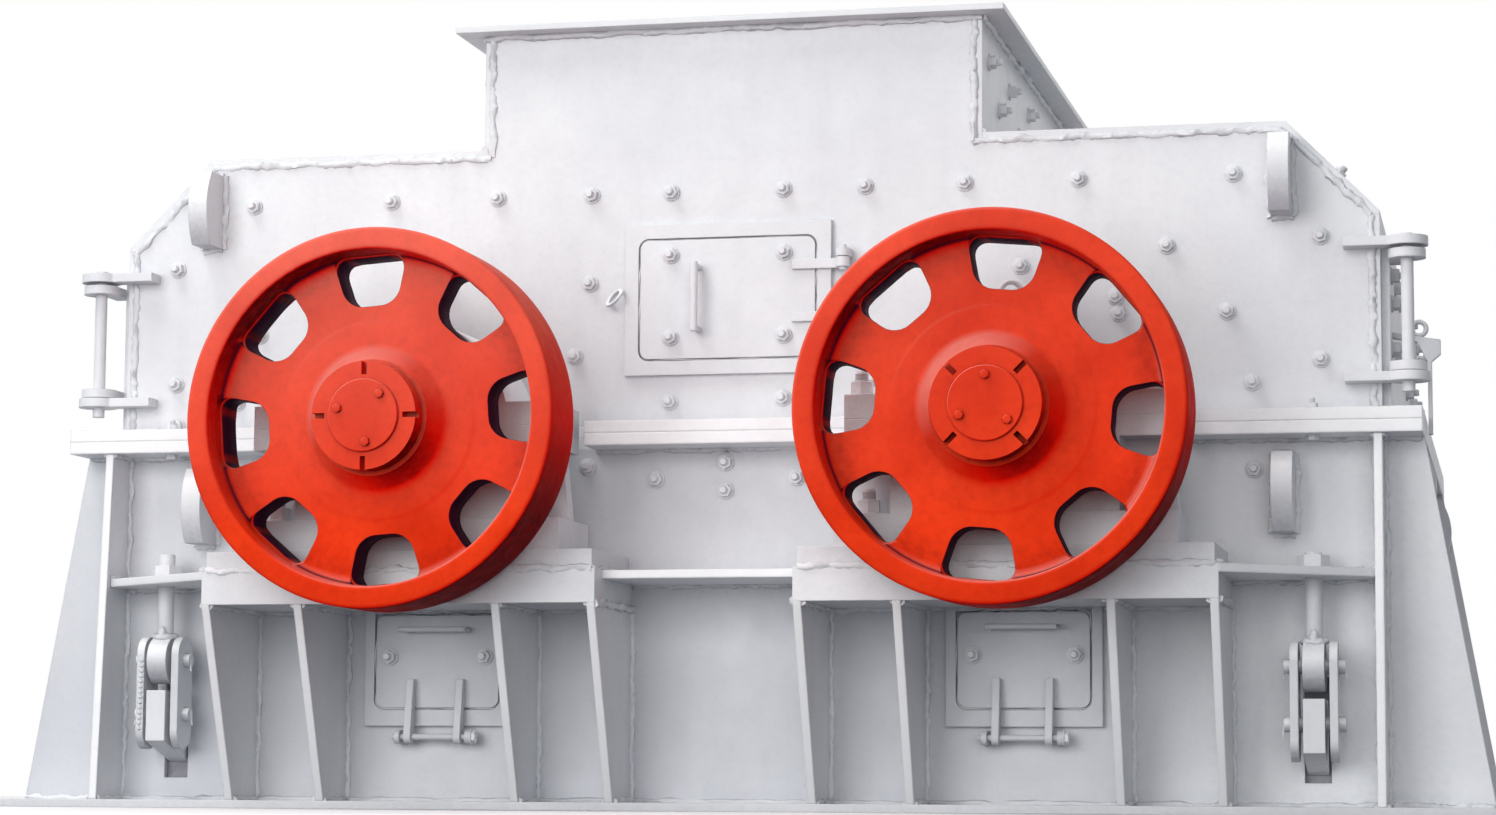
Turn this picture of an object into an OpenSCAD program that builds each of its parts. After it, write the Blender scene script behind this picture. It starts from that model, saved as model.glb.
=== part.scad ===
// Twin-rotor sand making machine: a welded plate housing split at shaft height,
// with a feed hopper on top and two rotors carried in bearings outside the walls.
// X runs along the machine, Y from front (-) to back (+), Z up. Origin: middle of the footprint.

/* [Housing] */
// Length of the housing over its end walls
body_len = 3168; // [2900:1:3400]
// Depth of the housing over its front and back walls
body_depth = 1640; // [1400:1:1900]
// Thickness of the housing plates
plate_t = 20; // [14:1:26]
// Height of the split between the lower and the upper housing, at the shafts
split_z = 916; // [880:1:960]
// Height of the roof of the upper housing
roof_z = 1650; // [1600:1:1750]
// Length of the slope at the ends of the roof
slope_len = 219; // [160:1:260]
// Height of the slope at the ends of the roof
slope_h = 224; // [180:1:240]

/* [Base and split flanges] */
// How far the base plate, and the foot of the lower walls, reach past the end walls
base_end_out = 247; // [190:1:320]
// Width of the base plate in front of the lower walls
base_out = 165; // [140:1:200]
// Thickness of the base plate
base_t = 20; // [16:1:30]
// Width of the base plate inside the lower walls
base_in = 40; // [30:1:60]
// Diameter of the anchor bolt holes
anchor_d = 36; // [24:1:45]
// Distance of the anchor holes in front of the walls
anchor_out = 80; // [60:1:110]
// Distance of the outer anchor holes from the ends of the base plate
anchor_end = 91; // [80:1:120]
// Distance of the inner anchor holes inside the end walls
anchor_in = 184; // [150:1:230]
// How far the split flanges, and the top of the lower walls, reach past the end walls
flange_end_out = 96; // [86:1:160]
// Width of the split flanges in front of the walls
flange_out = 122; // [100:1:150]
// Thickness of each split flange
flange_t = 30; // [24:1:36]
// Length of the gap in the split flanges at each bearing
flange_gap = 800; // [790:1:860]

/* [Hopper] */
// Length of the hopper over its side walls
hopper_len = 1267; // [1100:1:1400]
// Height of the hopper rim above the base
hopper_z = 1956; // [1850:1:2100]
// Width of the rim outside the hopper walls
rim_out = 62; // [40:1:90]
// Thickness of the rim
rim_t = 15; // [10:1:20]

/* [Bearing seats] */
// Distance between the two rotor shafts
rotor_gap = 1466; // [1430:1:1500]
// Height of the top of the seats
seat_z = 570; // [540:1:600]
// Length of each seat
seat_len = 988; // [970:1:1030]
// Depth of each seat in front of the wall
seat_out = 347; // [335:1:370]
// Thickness of the seats
seat_t = 80; // [60:1:100]
// Thickness of the upright ribs
rib_t = 20; // [14:1:26]
// Distance of the inner ribs of a seat from its middle
rib_off = 248; // [220:1:280]
// Depth of the corner ribs at their top
corner_rib_out = 110; // [80:1:120]
// Distance of the corner ribs inside the end walls
corner_rib_in = 7; // [0:1:24]
// Thickness of the shelves beside the seats
shelf_t = 20; // [12:1:26]
// Depth of the shelf between the seats
mid_shelf_out = 280; // [200:1:320]

/* [Bearings] */
// Thickness of the sole plate under a bearing
sole_t = 48; // [30:1:60]
// How far the sole plate stands in from the ends of its seat
sole_end_step = 9; // [4:1:40]
// How far the sole plate stands back from the front of its seat
sole_front_step = 7; // [4:1:30]
// How far the bearing foot stands in from the ends of the sole plate
foot_end_step = 84; // [50:1:100]
// How far the bearing foot stands back from the front of the sole plate
foot_front_step = 10; // [5:1:30]
// How far the bearing foot reaches behind the bearing body
foot_back = 8; // [4:1:30]
// Thickness of the bearing foot
foot_t = 75; // [60:1:90]
// Length of the base flange and of the cap flange
bearing_len = 754; // [700:1:790]
// Depth of the bearing along the shaft
bearing_w = 240; // [200:1:245]
// Distance from the wall to the back of the bearing
bearing_back = 82; // [60:1:90]
// Thickness of the base flange, under the cap flange
base_flange_t = 50; // [40:1:70]
// Thickness of the upright web at each side of the bearing body
flare_t = 44; // [30:1:60]
// How far those webs spread at their foot
flare_out = 18; // [8:1:24]
// Thickness of the cap flange
cap_flange_t = 58; // [45:1:70]
// Radius of the bearing cap, and half the length of the bearing body
cap_r = 268; // [240:1:280]

/* [Rotors] */
// Diameter of the shafts
shaft_d = 160; // [120:1:170]
// Radial gap between a shaft and a bore that it turns in
shaft_clear = 0.3; // [0.2:0.1:1]
// Radial gap round a shaft where it passes a wall
wall_hole_clear = 15; // [8:1:25]
// Diameter of the rotor discs inside the housing
disc_d = 840; // [700:1:900]
// Thickness of the rotor discs
disc_t = 40; // [30:1:50]
// Number of rotor discs
disc_n = 5; // [3:1:6]
// Number of hammers round a rotor
hammer_n = 4; // [3:1:6]
// Length of a hammer inside the edge of the discs
hammer_in = 120; // [80:1:150]
// Length of a hammer outside the edge of the discs
hammer_out = 120; // [80:1:150]
// Thickness of a hammer
hammer_t = 90; // [60:1:110]
// Turn of the hammers
hammer_turn = 45; // [0:1:90]
// Gap between the rotor ends and the walls
rotor_side_gap = 60; // [40:1:100]

/* [Flywheels] */
// Diameter of the flywheels
wheel_d = 900; // [860:1:930]
// Width of the rim along the shaft
rim_w = 193; // [160:1:200]
// Radial thickness of the rim
rim_wall = 54; // [44:1:60]
// Distance of the wheel front face from the wall
wheel_front = 576; // [572:1:620]
// Depth of the web behind the front face
web_recess = 78; // [60:1:84]
// Thickness of the web
web_t = 92; // [70:1:96]
// Size of the slope where the web meets the rim
web_fillet = 14; // [8:1:20]
// Number of windows in the web
window_n = 8; // [6:1:9]
// Distance of the inner edge of a window from the shaft middle
window_in = 271; // [260:1:290]
// Distance of the outer edge of a window from the shaft middle
window_out = 386; // [370:1:390]
// Width of a window at its outer edge
window_w_out = 182; // [120:1:190]
// Width of a window at its inner edge
window_w_in = 122; // [90:1:125]
// Corner radius of a window
window_r = 34; // [15:1:38]
// Turn of the left wheels
turn_left = 4; // [0:0.5:20]
// Turn of the right wheels
turn_right = -5; // [-20:0.5:0]
// Diameter of the hub where it leaves the web
hub_d = 340; // [300:1:350]
// Diameter of the hub at its front
hub_front_d = 278; // [262:1:290]
// Depth of the hub front behind the wheel front face
hub_recess = 26; // [15:1:40]
// Diameter of the hub behind the web
hub_back_d = 300; // [260:1:340]
// Distance of the hub back from the wall
hub_back = 352; // [345:1:365]
// Diameter of the round lock nut
nut_d = 256; // [230:1:260]
// Thickness of the lock nut
nut_t = 50; // [30:1:52]
// Width of the slots in the lock nut
nut_slot_w = 13; // [8:1:18]
// Radial depth of the slots in the lock nut
nut_slot_h = 32; // [20:1:36]
// Depth of those slots along the shaft
nut_slot_t = 24; // [10:1:30]
// Diameter of the cap on the shaft end
end_cap_d = 172; // [164:1:180]
// Thickness of the cap on the shaft end
end_cap_t = 16; // [15:1:35]

/* [Inspection door] */
// Length of the door panel
door_w = 442; // [400:1:460]
// Height of the door panel
door_h = 296; // [260:1:320]
// Height of the middle of the door above the base
door_z = 1256; // [1240:1:1270]
// Width of the frame plate round the door
door_frame_w = 40; // [30:1:60]
// Thickness of the door panels and of their frames
door_t = 15; // [10:1:20]
// Gap round the door panels
door_gap = 5; // [5:0.5:8]
// Corner radius of the door panels
door_r = 22; // [10:1:40]
// Distance of the hinge pin of the inspection door from the panel
door_pin_off = 74; // [66:1:80]
// Diameter of the small hinge pins
small_pin_d = 18; // [12:1:20]
// Height of the hinge straps of the inspection door
strap_h = 24; // [14:1:30]
// Distance of the upper hinge strap above the middle of the door
strap_hi_off = 78; // [60:1:90]
// Distance of the lower hinge strap below the middle of the door
strap_lo_off = 52; // [40:1:70]
// Thickness of the hinge straps
strap_t = 12; // [8:1:14]
// Distance of the small hinge pins in front of the wall
small_pin_out = 38; // [36:1:50]
// How far a small hinge pin stands out of its last eye
small_pin_tail = 8; // [4:1:12]
// Diameter of the handle bars
handle_d = 18; // [16:1:28]
// Diameter of the posts of the handle bars
handle_post_d = 16; // [12:1:24]
// Length of the handle bars
handle_len = 172; // [120:1:200]
// Overlap of the inspection door on the wall round its opening
door_land = 45; // [30:1:60]
// Radius of the hinge knuckles
knuckle_r = 17; // [12:1:20]
// Height of the fixed hinge knuckles
knuckle_h = 20; // [16:1:34]
// Length of a hinge strap on the door panel
strap_on = 56; // [40:1:80]
// Distance of the upright handle bar from the middle of the door
handle_x = 73; // [50:1:120]
// Distance of the handle bars from the door
handle_out = 46; // [36:1:60]

/* [Lower hatches] */
// Length of a hatch panel
hatch_w = 318; // [280:1:340]
// Height of a hatch panel
hatch_h = 228; // [200:1:240]
// Gap between a hatch panel and the seat above it
hatch_top_gap = 12; // [10:1:20]
// Overlap of a hatch on the wall round its opening
hatch_land = 24; // [16:1:34]
// Width of the frame plate beside a hatch
hatch_frame_w = 30; // [20:1:40]
// Width of the frame plate below a hatch
hatch_frame_lo = 45; // [30:1:50]
// Distance of the hatch handle below the top of the panel
hatch_handle_off = 36; // [30:1:60]
// Diameter of the handle bar of a hatch
hatch_handle_d = 14; // [12:1:24]
// Length of a hatch strap on its panel
hatch_strap_on = 70; // [50:1:100]
// Depth of the upper end of a hatch strap
hatch_strap_lip = 18; // [10:1:24]
// Thickness of the hatch hinge brackets
bracket_t = 14; // [10:1:20]
// Height of the hatch hinge pin below the panel
hatch_pin_off = 72; // [66:1:90]
// Length of the hatch hinge pin
hatch_pin_len = 212; // [205:1:260]
// Diameter of the hatch hinge pin
hatch_pin_d = 15; // [10:1:18]
// Distance of the hatch straps from the middle
hatch_strap_off = 64; // [50:1:70]
// Thickness of the hatch straps, which stand on edge
hatch_strap_w = 18; // [12:1:26]

/* [End doors] */
// Height of the end doors
end_door_h = 404; // [395:1:430]
// Width of the frame round the end openings
end_frame_w = 110; // [80:1:140]
// Height of the sills above and below the end openings
end_sill = 78; // [70:1:90]
// Distance of the end door edges from the front and back of the housing
end_door_edge = 30; // [20:1:50]
// Gap between the end doors and the split flange below them
end_door_gap = 12; // [8:1:20]
// Distance of the hinge pins outside the end walls
end_pin_out = 63; // [60:1:80]
// Distance of the hinge pins in front of the front wall
end_pin_front = 29; // [28:1:34]
// Diameter of the end door hinge pins
end_pin_d = 30; // [24:1:34]
// Height of the upper hinge bar
hinge_hi_z = 1334; // [1325:1:1345]
// Height of the lower hinge bar
hinge_lo_z = 1013; // [1005:1:1040]
// Thickness of the hinge bars and eyes
hinge_t = 22; // [16:1:26]
// Radius of the fixed hinge eyes
hinge_eye_r = 50; // [44:1:53]
// Radius of the eyes on the end doors
door_eye_r = 44; // [40:1:50]
// Length of the hinge bars along the wall
hinge_bar_len = 148; // [120:1:200]
// Length of the eye plates along the end doors
eye_len = 100; // [90:1:240]
// Gap between the lower eye and its bar, and between the parts of a small hinge
hinge_gap = 2; // [1:0.5:4]
// Gap between the upper eye of an end door and its bar
hinge_hi_gap = 8; // [1:1:12]
// Radial gap round the hinge pins
pin_clear = 0.4; // [0.2:0.1:0.8]
// How far an end door pin stands out below the lower bar
end_pin_foot = 24; // [10:1:40]
// How far an end door pin stands out above the upper bar
end_pin_head = 8; // [4:1:20]
// Distance of the latch of the right end door behind the front of the housing
latch_y = 150; // [120:1:200]
// Height of the top of the latch bar where it leaves the end door
latch_z = 1152; // [1120:1:1200]
// Fall of the top of the latch bar over its length
latch_drop = 20; // [0:1:50]
// Length of the latch bar outside the end door
latch_out = 113; // [108:1:130]
// Height of the latch bar at the end door
latch_root_h = 14; // [10:1:20]
// Length of the narrow part of the latch bar
latch_neck = 58; // [30:1:70]
// Height of the latch bar at its tip
latch_tip_h = 34; // [26:1:50]
// How far the latch bar reaches down to its strip, below its tip
latch_chin_h = 18; // [8:1:24]
// Thickness of the latch bar
latch_t = 24; // [16:1:30]
// Distance of the latch strip outside the end door
latch_strip_out = 82; // [82:1:92]
// Thickness of the latch strip
latch_strip_t = 10; // [6:1:12]
// Height of the lower end of the latch strip
latch_strip_lo = 905; // [890:1:950]

/* [Grate adjusters] */
// Distance of the grate beams inside the end walls
beam_in = 160; // [134:1:164]
// Thickness of the grate beams
beam_t = 50; // [40:1:54]
// Height of the grate beams
beam_h = 125; // [100:1:135]
// Height of the underside of the grate beams, in their middle setting
beam_z = 154; // [145:1:160]
// Setting of the left grate above its middle setting
lift_left = 11; // [-12:1:20]
// Setting of the right grate above its middle setting
lift_right = -11; // [-12:1:20]
// Length of the grate beams in front of the walls
beam_out = 142; // [130:1:150]
// Height of the gussets under the ends of the grate beams, at the walls
gusset_h = 50; // [30:1:55]
// Gap between a grate beam and the sides of its slot
slot_gap = 6; // [5:1:10]
// Height of the bottom of the slots
slot_lo = 75; // [65:1:85]
// Height of the top of the slots
slot_hi = 322; // [318:1:330]
// Distance of the adjusting rods from the wall
rod_out = 89; // [80:1:92]
// Diameter of the adjusting rods
rod_d = 40; // [30:1:44]
// Height of the top of the adjusting rods
rod_top = 620; // [614:1:640]
// Height of the upper link pin
link_hi_z = 354; // [345:1:365]
// Height of the lower link pin
link_lo_z = 220; // [210:1:230]
// Thickness of the link plates
link_t = 19; // [12:1:20]
// Gap between the link plates and the grate beam
link_gap = 11; // [5:1:14]
// Reach of the link plates above the upper pin
link_head = 59; // [46:1:70]
// Reach of the link plates below the lower pin
link_foot = 86; // [46:1:90]
// Width of the link plates
link_w = 92; // [80:1:96]
// Corner radius of the link plates
link_r = 45; // [30:0.5:45]
// Diameter of the link pins
link_pin_d = 34; // [26:1:40]
// Length of the link pins outside the link plates
link_pin_end = 16; // [8:1:20]
// Radius of the sleeves at the feet of the adjusting rods
rod_eye_r = 58; // [46:1:60]
// Gap round the adjusting rods in the shelves
rod_clear = 4; // [3:1:8]
// Width of the adjusting nuts over their flats
adj_nut_w = 66; // [60:1:75]
// Height of the adjusting nuts
adj_nut_h = 32; // [26:1:40]

/* [Lifting lugs] */
// Distance of the lugs inside the end walls
lug_in = 230; // [214:1:264]
// Height of the lugs
lug_h = 188; // [160:1:210]
// Reach of the lugs from the wall
lug_out = 120; // [100:1:140]
// Radius of the round edge of the lugs
lug_r = 155; // [150:1:240]
// Thickness of the lugs
lug_t = 50; // [40:1:60]
// Height of the middle of the upper lugs
lug_hi_z = 1513; // [1490:1:1525]
// Height of the middle of the lower lugs
lug_lo_z = 754; // [740:1:780]
// Height of the middle of the lugs on the end walls
end_lug_z = 776; // [740:1:780]
// Distance of the end wall lugs from the front and back of the housing
end_lug_in = 90; // [80:1:320]

/* [Hidden] */
$fn = 64;

paint = "gainsboro";
red = "orangered";
steel = "silver";
dark = "dimgray";

wall_y = body_depth / 2;                  // outer face of the front and back walls
end_x = body_len / 2;                     // outer face of the end walls
base_len = body_len + 2 * base_end_out;
flange_len = body_len + 2 * flange_end_out;
anchor_outer_x = base_len / 2 - anchor_end;
anchor_inner_x = end_x - anchor_in;
corner_rib_x = end_x - corner_rib_in;
beam_x = end_x - beam_in;
lug_x = end_x - lug_in;
end_lug_y = wall_y - end_lug_in;
lower_top_z = split_z - flange_t;         // top of the lower walls
upper_bottom_z = split_z + flange_t;      // bottom of the upper walls
slope_foot_z = roof_z - slope_h;          // where the roof slope starts
rim_z = hopper_z - rim_t;                 // underside of the hopper rim
seat_bottom_z = seat_z - seat_t;
sole_top_z = seat_z + sole_t;
foot_top_z = sole_top_z + foot_t;
sole_len = seat_len - 2 * sole_end_step;
sole_out = seat_out - sole_front_step;
foot_len = sole_len - 2 * foot_end_step;
foot_out = sole_out - foot_front_step;
hole_r = shaft_d / 2 + wall_hole_clear;   // hole for a shaft in a wall
bore_r = shaft_d / 2 + shaft_clear;       // bore that a shaft turns in
hub_front = wheel_front - hub_recess;      // hub front face, from the wall
nut_front = hub_front + nut_t;            // lock nut front face, from the wall
shaft_end = wall_y + nut_front;
rotor_half = wall_y - plate_t - rotor_side_gap;              // half the width of a rotor
disc_pitch = (2 * rotor_half - disc_t) / (disc_n - 1);
door_pin_x = door_w / 2 + door_pin_off;
hatch_top_z = seat_bottom_z - hatch_top_gap;
hatch_z = hatch_top_z - hatch_h / 2;
hatch_pin_z = hatch_top_z - hatch_h - hatch_pin_off;
end_pin_x = end_x + end_pin_out;
end_door_lo = upper_bottom_z + end_door_gap;
end_face = end_x + plate_t;               // outer face of the end doors
sides = [-1, 1];
strap_heights = [-strap_lo_off, strap_hi_off];
over = 1;                                 // how far a cut runs past a face

// Offset of the inner line of the roof slope, measured up the end wall and along the roof
slope_l = sqrt(slope_len * slope_len + slope_h * slope_h);
inner_end_z = slope_foot_z + plate_t * (slope_h - slope_l) / slope_len;
inner_roof_x = end_x - slope_len - plate_t * (slope_l - slope_len) / slope_h;

// ---- helpers ----

// Children are written with the wall face at y = 0 and the outside at y < 0
module at_front() {
    translate([0, -wall_y, 0]) children();
}

module at_back() {
    mirror([0, 1, 0]) at_front() children();
}

// A profile drawn in X and Z, as thick as t, reaching back from y
module upright(y, t) {
    translate([0, y + t, 0]) rotate([90, 0, 0]) linear_extrude(t) children();
}

// A profile drawn in Y and Z, as thick as t, centred on x
module crossways(x, t) {
    translate([x - t / 2, 0, 0]) rotate([90, 0, 90]) linear_extrude(t) children();
}

// A box centred on x, from y0 to y1 and z0 to z1
module block(x, w, y0, y1, z0, z1) {
    translate([x - w / 2, y0, z0]) cube([w, y1 - y0, z1 - z0]);
}

module rod_y(x, y0, y1, z, r) {
    translate([x, y0, z]) rotate([-90, 0, 0]) cylinder(h = y1 - y0, r = r);
}

module rod_x(x, len, y, z, r) {
    translate([x - len / 2, y, z]) rotate([0, 90, 0]) cylinder(h = len, r = r);
}

module rod_z(x, y, z0, z1, r) {
    translate([x, y, z0]) cylinder(h = z1 - z0, r = r);
}

function unit(v) = v / norm(v);

// Centre of the corner arc at point i of an outline, with radius r
function corner_centre(pts, i, r) =
    let (n = len(pts), p = pts[i])
    let (u = unit(pts[(i + n - 1) % n] - p), v = unit(pts[(i + 1) % n] - p))
    let (half = acos(u * v) / 2)
    p + unit(u + v) * r / sin(half);

// Where that arc meets the outline, towards the neighbour at step s
function corner_tangent(pts, i, r, s) =
    let (n = len(pts), p = pts[i])
    let (u = unit(pts[(i + n - 1) % n] - p), v = unit(pts[(i + 1) % n] - p))
    let (half = acos(u * v) / 2)
    p + (s < 0 ? u : v) * r / tan(half);

// An outline with true round corners
module rounded_outline(pts, r) {
    polygon([for (i = [0 : len(pts) - 1], s = [-1, 1]) corner_tangent(pts, i, r, s)]);
    for (i = [0 : len(pts) - 1]) translate(corner_centre(pts, i, r)) circle(r);
}

module rounded_rect(w, h, r) {
    rounded_outline([[-w / 2, -h / 2], [w / 2, -h / 2], [w / 2, h / 2], [-w / 2, h / 2]], r);
}

// ---- base and lower housing ----

module base_frame() {
    color(paint) difference() {
        block(0, base_len, -wall_y - base_out, wall_y + base_out, 0, base_t);
        block(0, body_len - 2 * plate_t - 2 * base_in, base_in + plate_t - wall_y,
              wall_y - plate_t - base_in, -over, base_t + over);
        for (x = [-anchor_outer_x, -anchor_inner_x, 0, anchor_inner_x, anchor_outer_x], s = sides)
            rod_z(x, s * (wall_y + anchor_out), -over, base_t + over, anchor_d / 2);
    }
}

module lower_wall() {
    difference() {
        upright(0, plate_t) polygon([
            [-base_len / 2, base_t], [base_len / 2, base_t],
            [flange_len / 2, lower_top_z], [-flange_len / 2, lower_top_z]
        ]);
        for (s = sides) {
            block(s * beam_x, beam_t + 2 * slot_gap, -over, plate_t + over, slot_lo, slot_hi);
            rod_y(s * rotor_gap / 2, -over, plate_t + over, split_z, hole_r);
            translate([s * rotor_gap / 2, 0, hatch_z]) upright(-over, plate_t + 2 * over)
                rounded_rect(hatch_w - 2 * hatch_land, hatch_h - 2 * hatch_land, door_r);
        }
    }
}

module lower_end_walls() {
    color(paint) for (s = sides)
        block(s * (end_x - plate_t / 2), plate_t, plate_t - wall_y, wall_y - plate_t, base_t, lower_top_z);
}

module seat_rib(x) {
    crossways(x, rib_t) polygon([
        [0, base_t], [-base_out, base_t], [-seat_out, seat_bottom_z], [0, seat_bottom_z]
    ]);
}

module corner_rib(x) {
    crossways(x, rib_t) polygon([
        [0, base_t], [-base_out, base_t], [-corner_rib_out, lower_top_z], [0, lower_top_z]
    ]);
}

module ribs() {
    for (s = sides) {
        corner_rib(s * corner_rib_x);
        for (o = [-seat_len / 2 + rib_t / 2, -rib_off, rib_off, seat_len / 2 - rib_t / 2])
            seat_rib(s * rotor_gap / 2 + o);
    }
}

module seats() {
    for (s = sides) block(s * rotor_gap / 2, seat_len, -seat_out, 0, seat_bottom_z, seat_z);
}

module bearing_seats() {
    color(paint) {
        at_front() seats();
        at_back() seats();
    }
}

module end_shelf(s) {
    inner = rotor_gap / 2 + seat_len / 2;
    outer = corner_rib_x - rib_t / 2;
    difference() {
        translate([0, 0, seat_z - shelf_t]) linear_extrude(shelf_t) polygon([
            [s * inner, 0], [s * outer, 0], [s * outer, -corner_rib_out], [s * inner, -seat_out]
        ]);
        rod_z(s * beam_x, -rod_out, seat_z - shelf_t - over, seat_z + over,
              rod_d / 2 + rod_clear);
    }
}

module shelf_row() {
    for (s = sides) end_shelf(s);
    block(0, rotor_gap - seat_len, -mid_shelf_out, 0, seat_z - shelf_t, seat_z);
}

module shelves() {
    color(paint) {
        at_front() shelf_row();
        at_back() shelf_row();
    }
}

// ---- split flanges ----

module split_ring(z0) {
    lo = z0 - over;
    hi = z0 + flange_t + over;
    edge = wall_y + flange_out;
    difference() {
        block(0, flange_len, -edge, edge, z0, z0 + flange_t);
        block(0, body_len - 2 * plate_t, plate_t - wall_y, wall_y - plate_t, lo, hi);
        for (s = sides) {
            block(s * rotor_gap / 2, flange_gap, -edge - over, -wall_y, lo, hi);
            block(s * rotor_gap / 2, flange_gap, wall_y, edge + over, lo, hi);
            rod_y(s * rotor_gap / 2, -body_depth, body_depth, split_z, hole_r);
        }
    }
}

// ---- upper housing and hopper ----

module upper_wall() {
    in_x = hopper_len / 2 - plate_t;
    difference() {
        upright(0, plate_t) polygon([
            [-end_x + plate_t, upper_bottom_z], [end_x - plate_t, upper_bottom_z],
            [end_x - plate_t, inner_end_z], [inner_roof_x, roof_z - plate_t],
            [in_x, roof_z - plate_t], [in_x, rim_z], [-in_x, rim_z], [-in_x, roof_z - plate_t],
            [-inner_roof_x, roof_z - plate_t], [-end_x + plate_t, inner_end_z]
        ]);
        translate([0, 0, door_z]) upright(-over, plate_t + 2 * over)
            rounded_rect(door_w - 2 * door_land, door_h - 2 * door_land, door_r);
        for (s = sides) rod_y(s * rotor_gap / 2, -over, plate_t + over, split_z, hole_r);
    }
}

module roof_plates() {
    side_x = hopper_len / 2;
    color(paint) for (s = sides) upright(-wall_y, body_depth) polygon([
        [s * end_x, inner_end_z], [s * end_x, slope_foot_z], [s * (end_x - slope_len), roof_z],
        [s * side_x, roof_z], [s * side_x, roof_z - plate_t], [s * inner_roof_x, roof_z - plate_t],
        [s * (end_x - plate_t), inner_end_z]
    ]);
}

module end_frames() {
    color(paint) for (s = sides) difference() {
        block(s * (end_x - plate_t / 2), plate_t, -wall_y, wall_y, upper_bottom_z, inner_end_z);
        block(s * (end_x - plate_t / 2), plate_t + 2 * over, end_frame_w - wall_y, wall_y - end_frame_w,
              upper_bottom_z + end_sill, inner_end_z - end_sill);
    }
}

module hopper_sides() {
    color(paint) for (s = sides)
        block(s * (hopper_len - plate_t) / 2, plate_t, -wall_y, wall_y, roof_z - plate_t, rim_z);
}

module hopper_rim() {
    color(paint) difference() {
        block(0, hopper_len + 2 * rim_out, -wall_y - rim_out, wall_y + rim_out, rim_z, hopper_z);
        block(0, hopper_len - 2 * plate_t, plate_t - wall_y, wall_y - plate_t, rim_z - over,
              hopper_z + over);
    }
}

// ---- bearings ----

module bearing_base() {
    y0 = -bearing_back - bearing_w;
    for (s = sides) translate([s * rotor_gap / 2, 0, 0]) difference() {
        union() {
            block(0, sole_len, -sole_out, 0, seat_z, sole_top_z);
            block(0, foot_len, -foot_out, foot_back - bearing_back, sole_top_z, foot_top_z);
            block(0, 2 * cap_r, y0, -bearing_back, foot_top_z, split_z);
            block(0, bearing_len, y0, -bearing_back, split_z - base_flange_t, split_z);
            flare();
        }
        rod_y(0, -seat_out, 0, split_z, bore_r);
    }
}

// The upright web in the middle plane of the bearing body, wider at its foot
module flare() {
    mid = -bearing_back - bearing_w / 2;
    half = bearing_len / 2;
    top = split_z - base_flange_t;
    upright(mid - flare_t / 2, flare_t) polygon([
        [-half - flare_out, foot_top_z], [half + flare_out, foot_top_z], [half, top], [-half, top]
    ]);
}

module bearing_cap() {
    y0 = -bearing_back - bearing_w;
    for (s = sides) translate([s * rotor_gap / 2, 0, 0]) difference() {
        union() {
            block(0, bearing_len, y0, -bearing_back, split_z, split_z + cap_flange_t);
            intersection() {
                rod_y(0, y0, -bearing_back, split_z, cap_r);
                block(0, 2 * cap_r, y0, -bearing_back, split_z, split_z + cap_r);
            }
        }
        rod_y(0, y0 - over, over - bearing_back, split_z, bore_r);
    }
}

// ---- rotors ----

module shaft(s) {
    color(steel) rod_y(s * rotor_gap / 2, -shaft_end, shaft_end, split_z, shaft_d / 2);
}

module discs(s) {
    color(dark) translate([s * rotor_gap / 2, 0, split_z]) for (i = [0 : disc_n - 1])
        translate([0, i * disc_pitch - rotor_half, 0]) difference() {
            rod_y(0, 0, disc_t, 0, disc_d / 2);
            rod_y(0, -over, disc_t + over, 0, shaft_d / 2);
        }
}

// The hammers stand between the discs, out past their edge
module hammers(s) {
    long = disc_pitch - disc_t;
    color(dark) translate([s * rotor_gap / 2, 0, split_z])
        for (i = [0 : disc_n - 2], k = [0 : hammer_n - 1])
            rotate([0, hammer_turn + k * 360 / hammer_n, 0])
                translate([disc_d / 2 - hammer_in, i * disc_pitch + disc_t - rotor_half, -hammer_t / 2])
                    cube([hammer_in + hammer_out, long, hammer_t]);
}

// Half section of a flywheel: radius across, depth behind the front face up
module wheel_section() {
    rim_r = wheel_d / 2;
    in_r = rim_r - rim_wall;
    web_back = web_recess + web_t;
    back = wheel_front - hub_back;
    polygon([
        [shaft_d / 2, hub_recess], [hub_front_d / 2, hub_recess], [hub_d / 2, web_recess],
        [in_r - web_fillet, web_recess], [in_r, web_recess - web_fillet], [in_r, 0], [rim_r, 0],
        [rim_r, rim_w], [in_r, rim_w], [in_r, web_back], [hub_back_d / 2, web_back],
        [hub_back_d / 2, back], [shaft_d / 2, back]
    ]);
}

module window_outline() {
    rounded_outline([
        [-window_w_in / 2, window_in], [window_w_in / 2, window_in],
        [window_w_out / 2, window_out], [-window_w_out / 2, window_out]
    ], window_r);
}

module flywheel(s, turn) {
    color(red) translate([s * rotor_gap / 2, -wheel_front, split_z]) rotate([-90, 0, 0]) difference() {
        rotate_extrude($fn = 128) wheel_section();
        for (k = [0 : window_n - 1]) rotate([0, 0, 180 - turn + k * 360 / window_n])
            translate([0, 0, web_recess - web_fillet])
                linear_extrude(web_t + 2 * web_fillet) window_outline();
    }
}

module lock_nut(s, turn) {
    color(red) translate([s * rotor_gap / 2, -nut_front, split_z]) rotate([-90, 0, 0]) difference() {
        cylinder(h = nut_t, d = nut_d);
        translate([0, 0, -over]) cylinder(h = nut_t + 2 * over, d = shaft_d);
        for (k = [0 : 3]) rotate([0, 0, turn + k * 90])
            translate([nut_d / 2 - nut_slot_h, -nut_slot_w / 2, -over])
                cube([nut_slot_h + over, nut_slot_w, nut_slot_t + over]);
    }
}

module end_cap(s) {
    color(red) rod_y(s * rotor_gap / 2, -nut_front - end_cap_t, -nut_front, split_z, end_cap_d / 2);
}

module lock_nuts(s, turn) {
    at_front() lock_nut(s, turn);
    at_back() lock_nut(s, turn);
}

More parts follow.
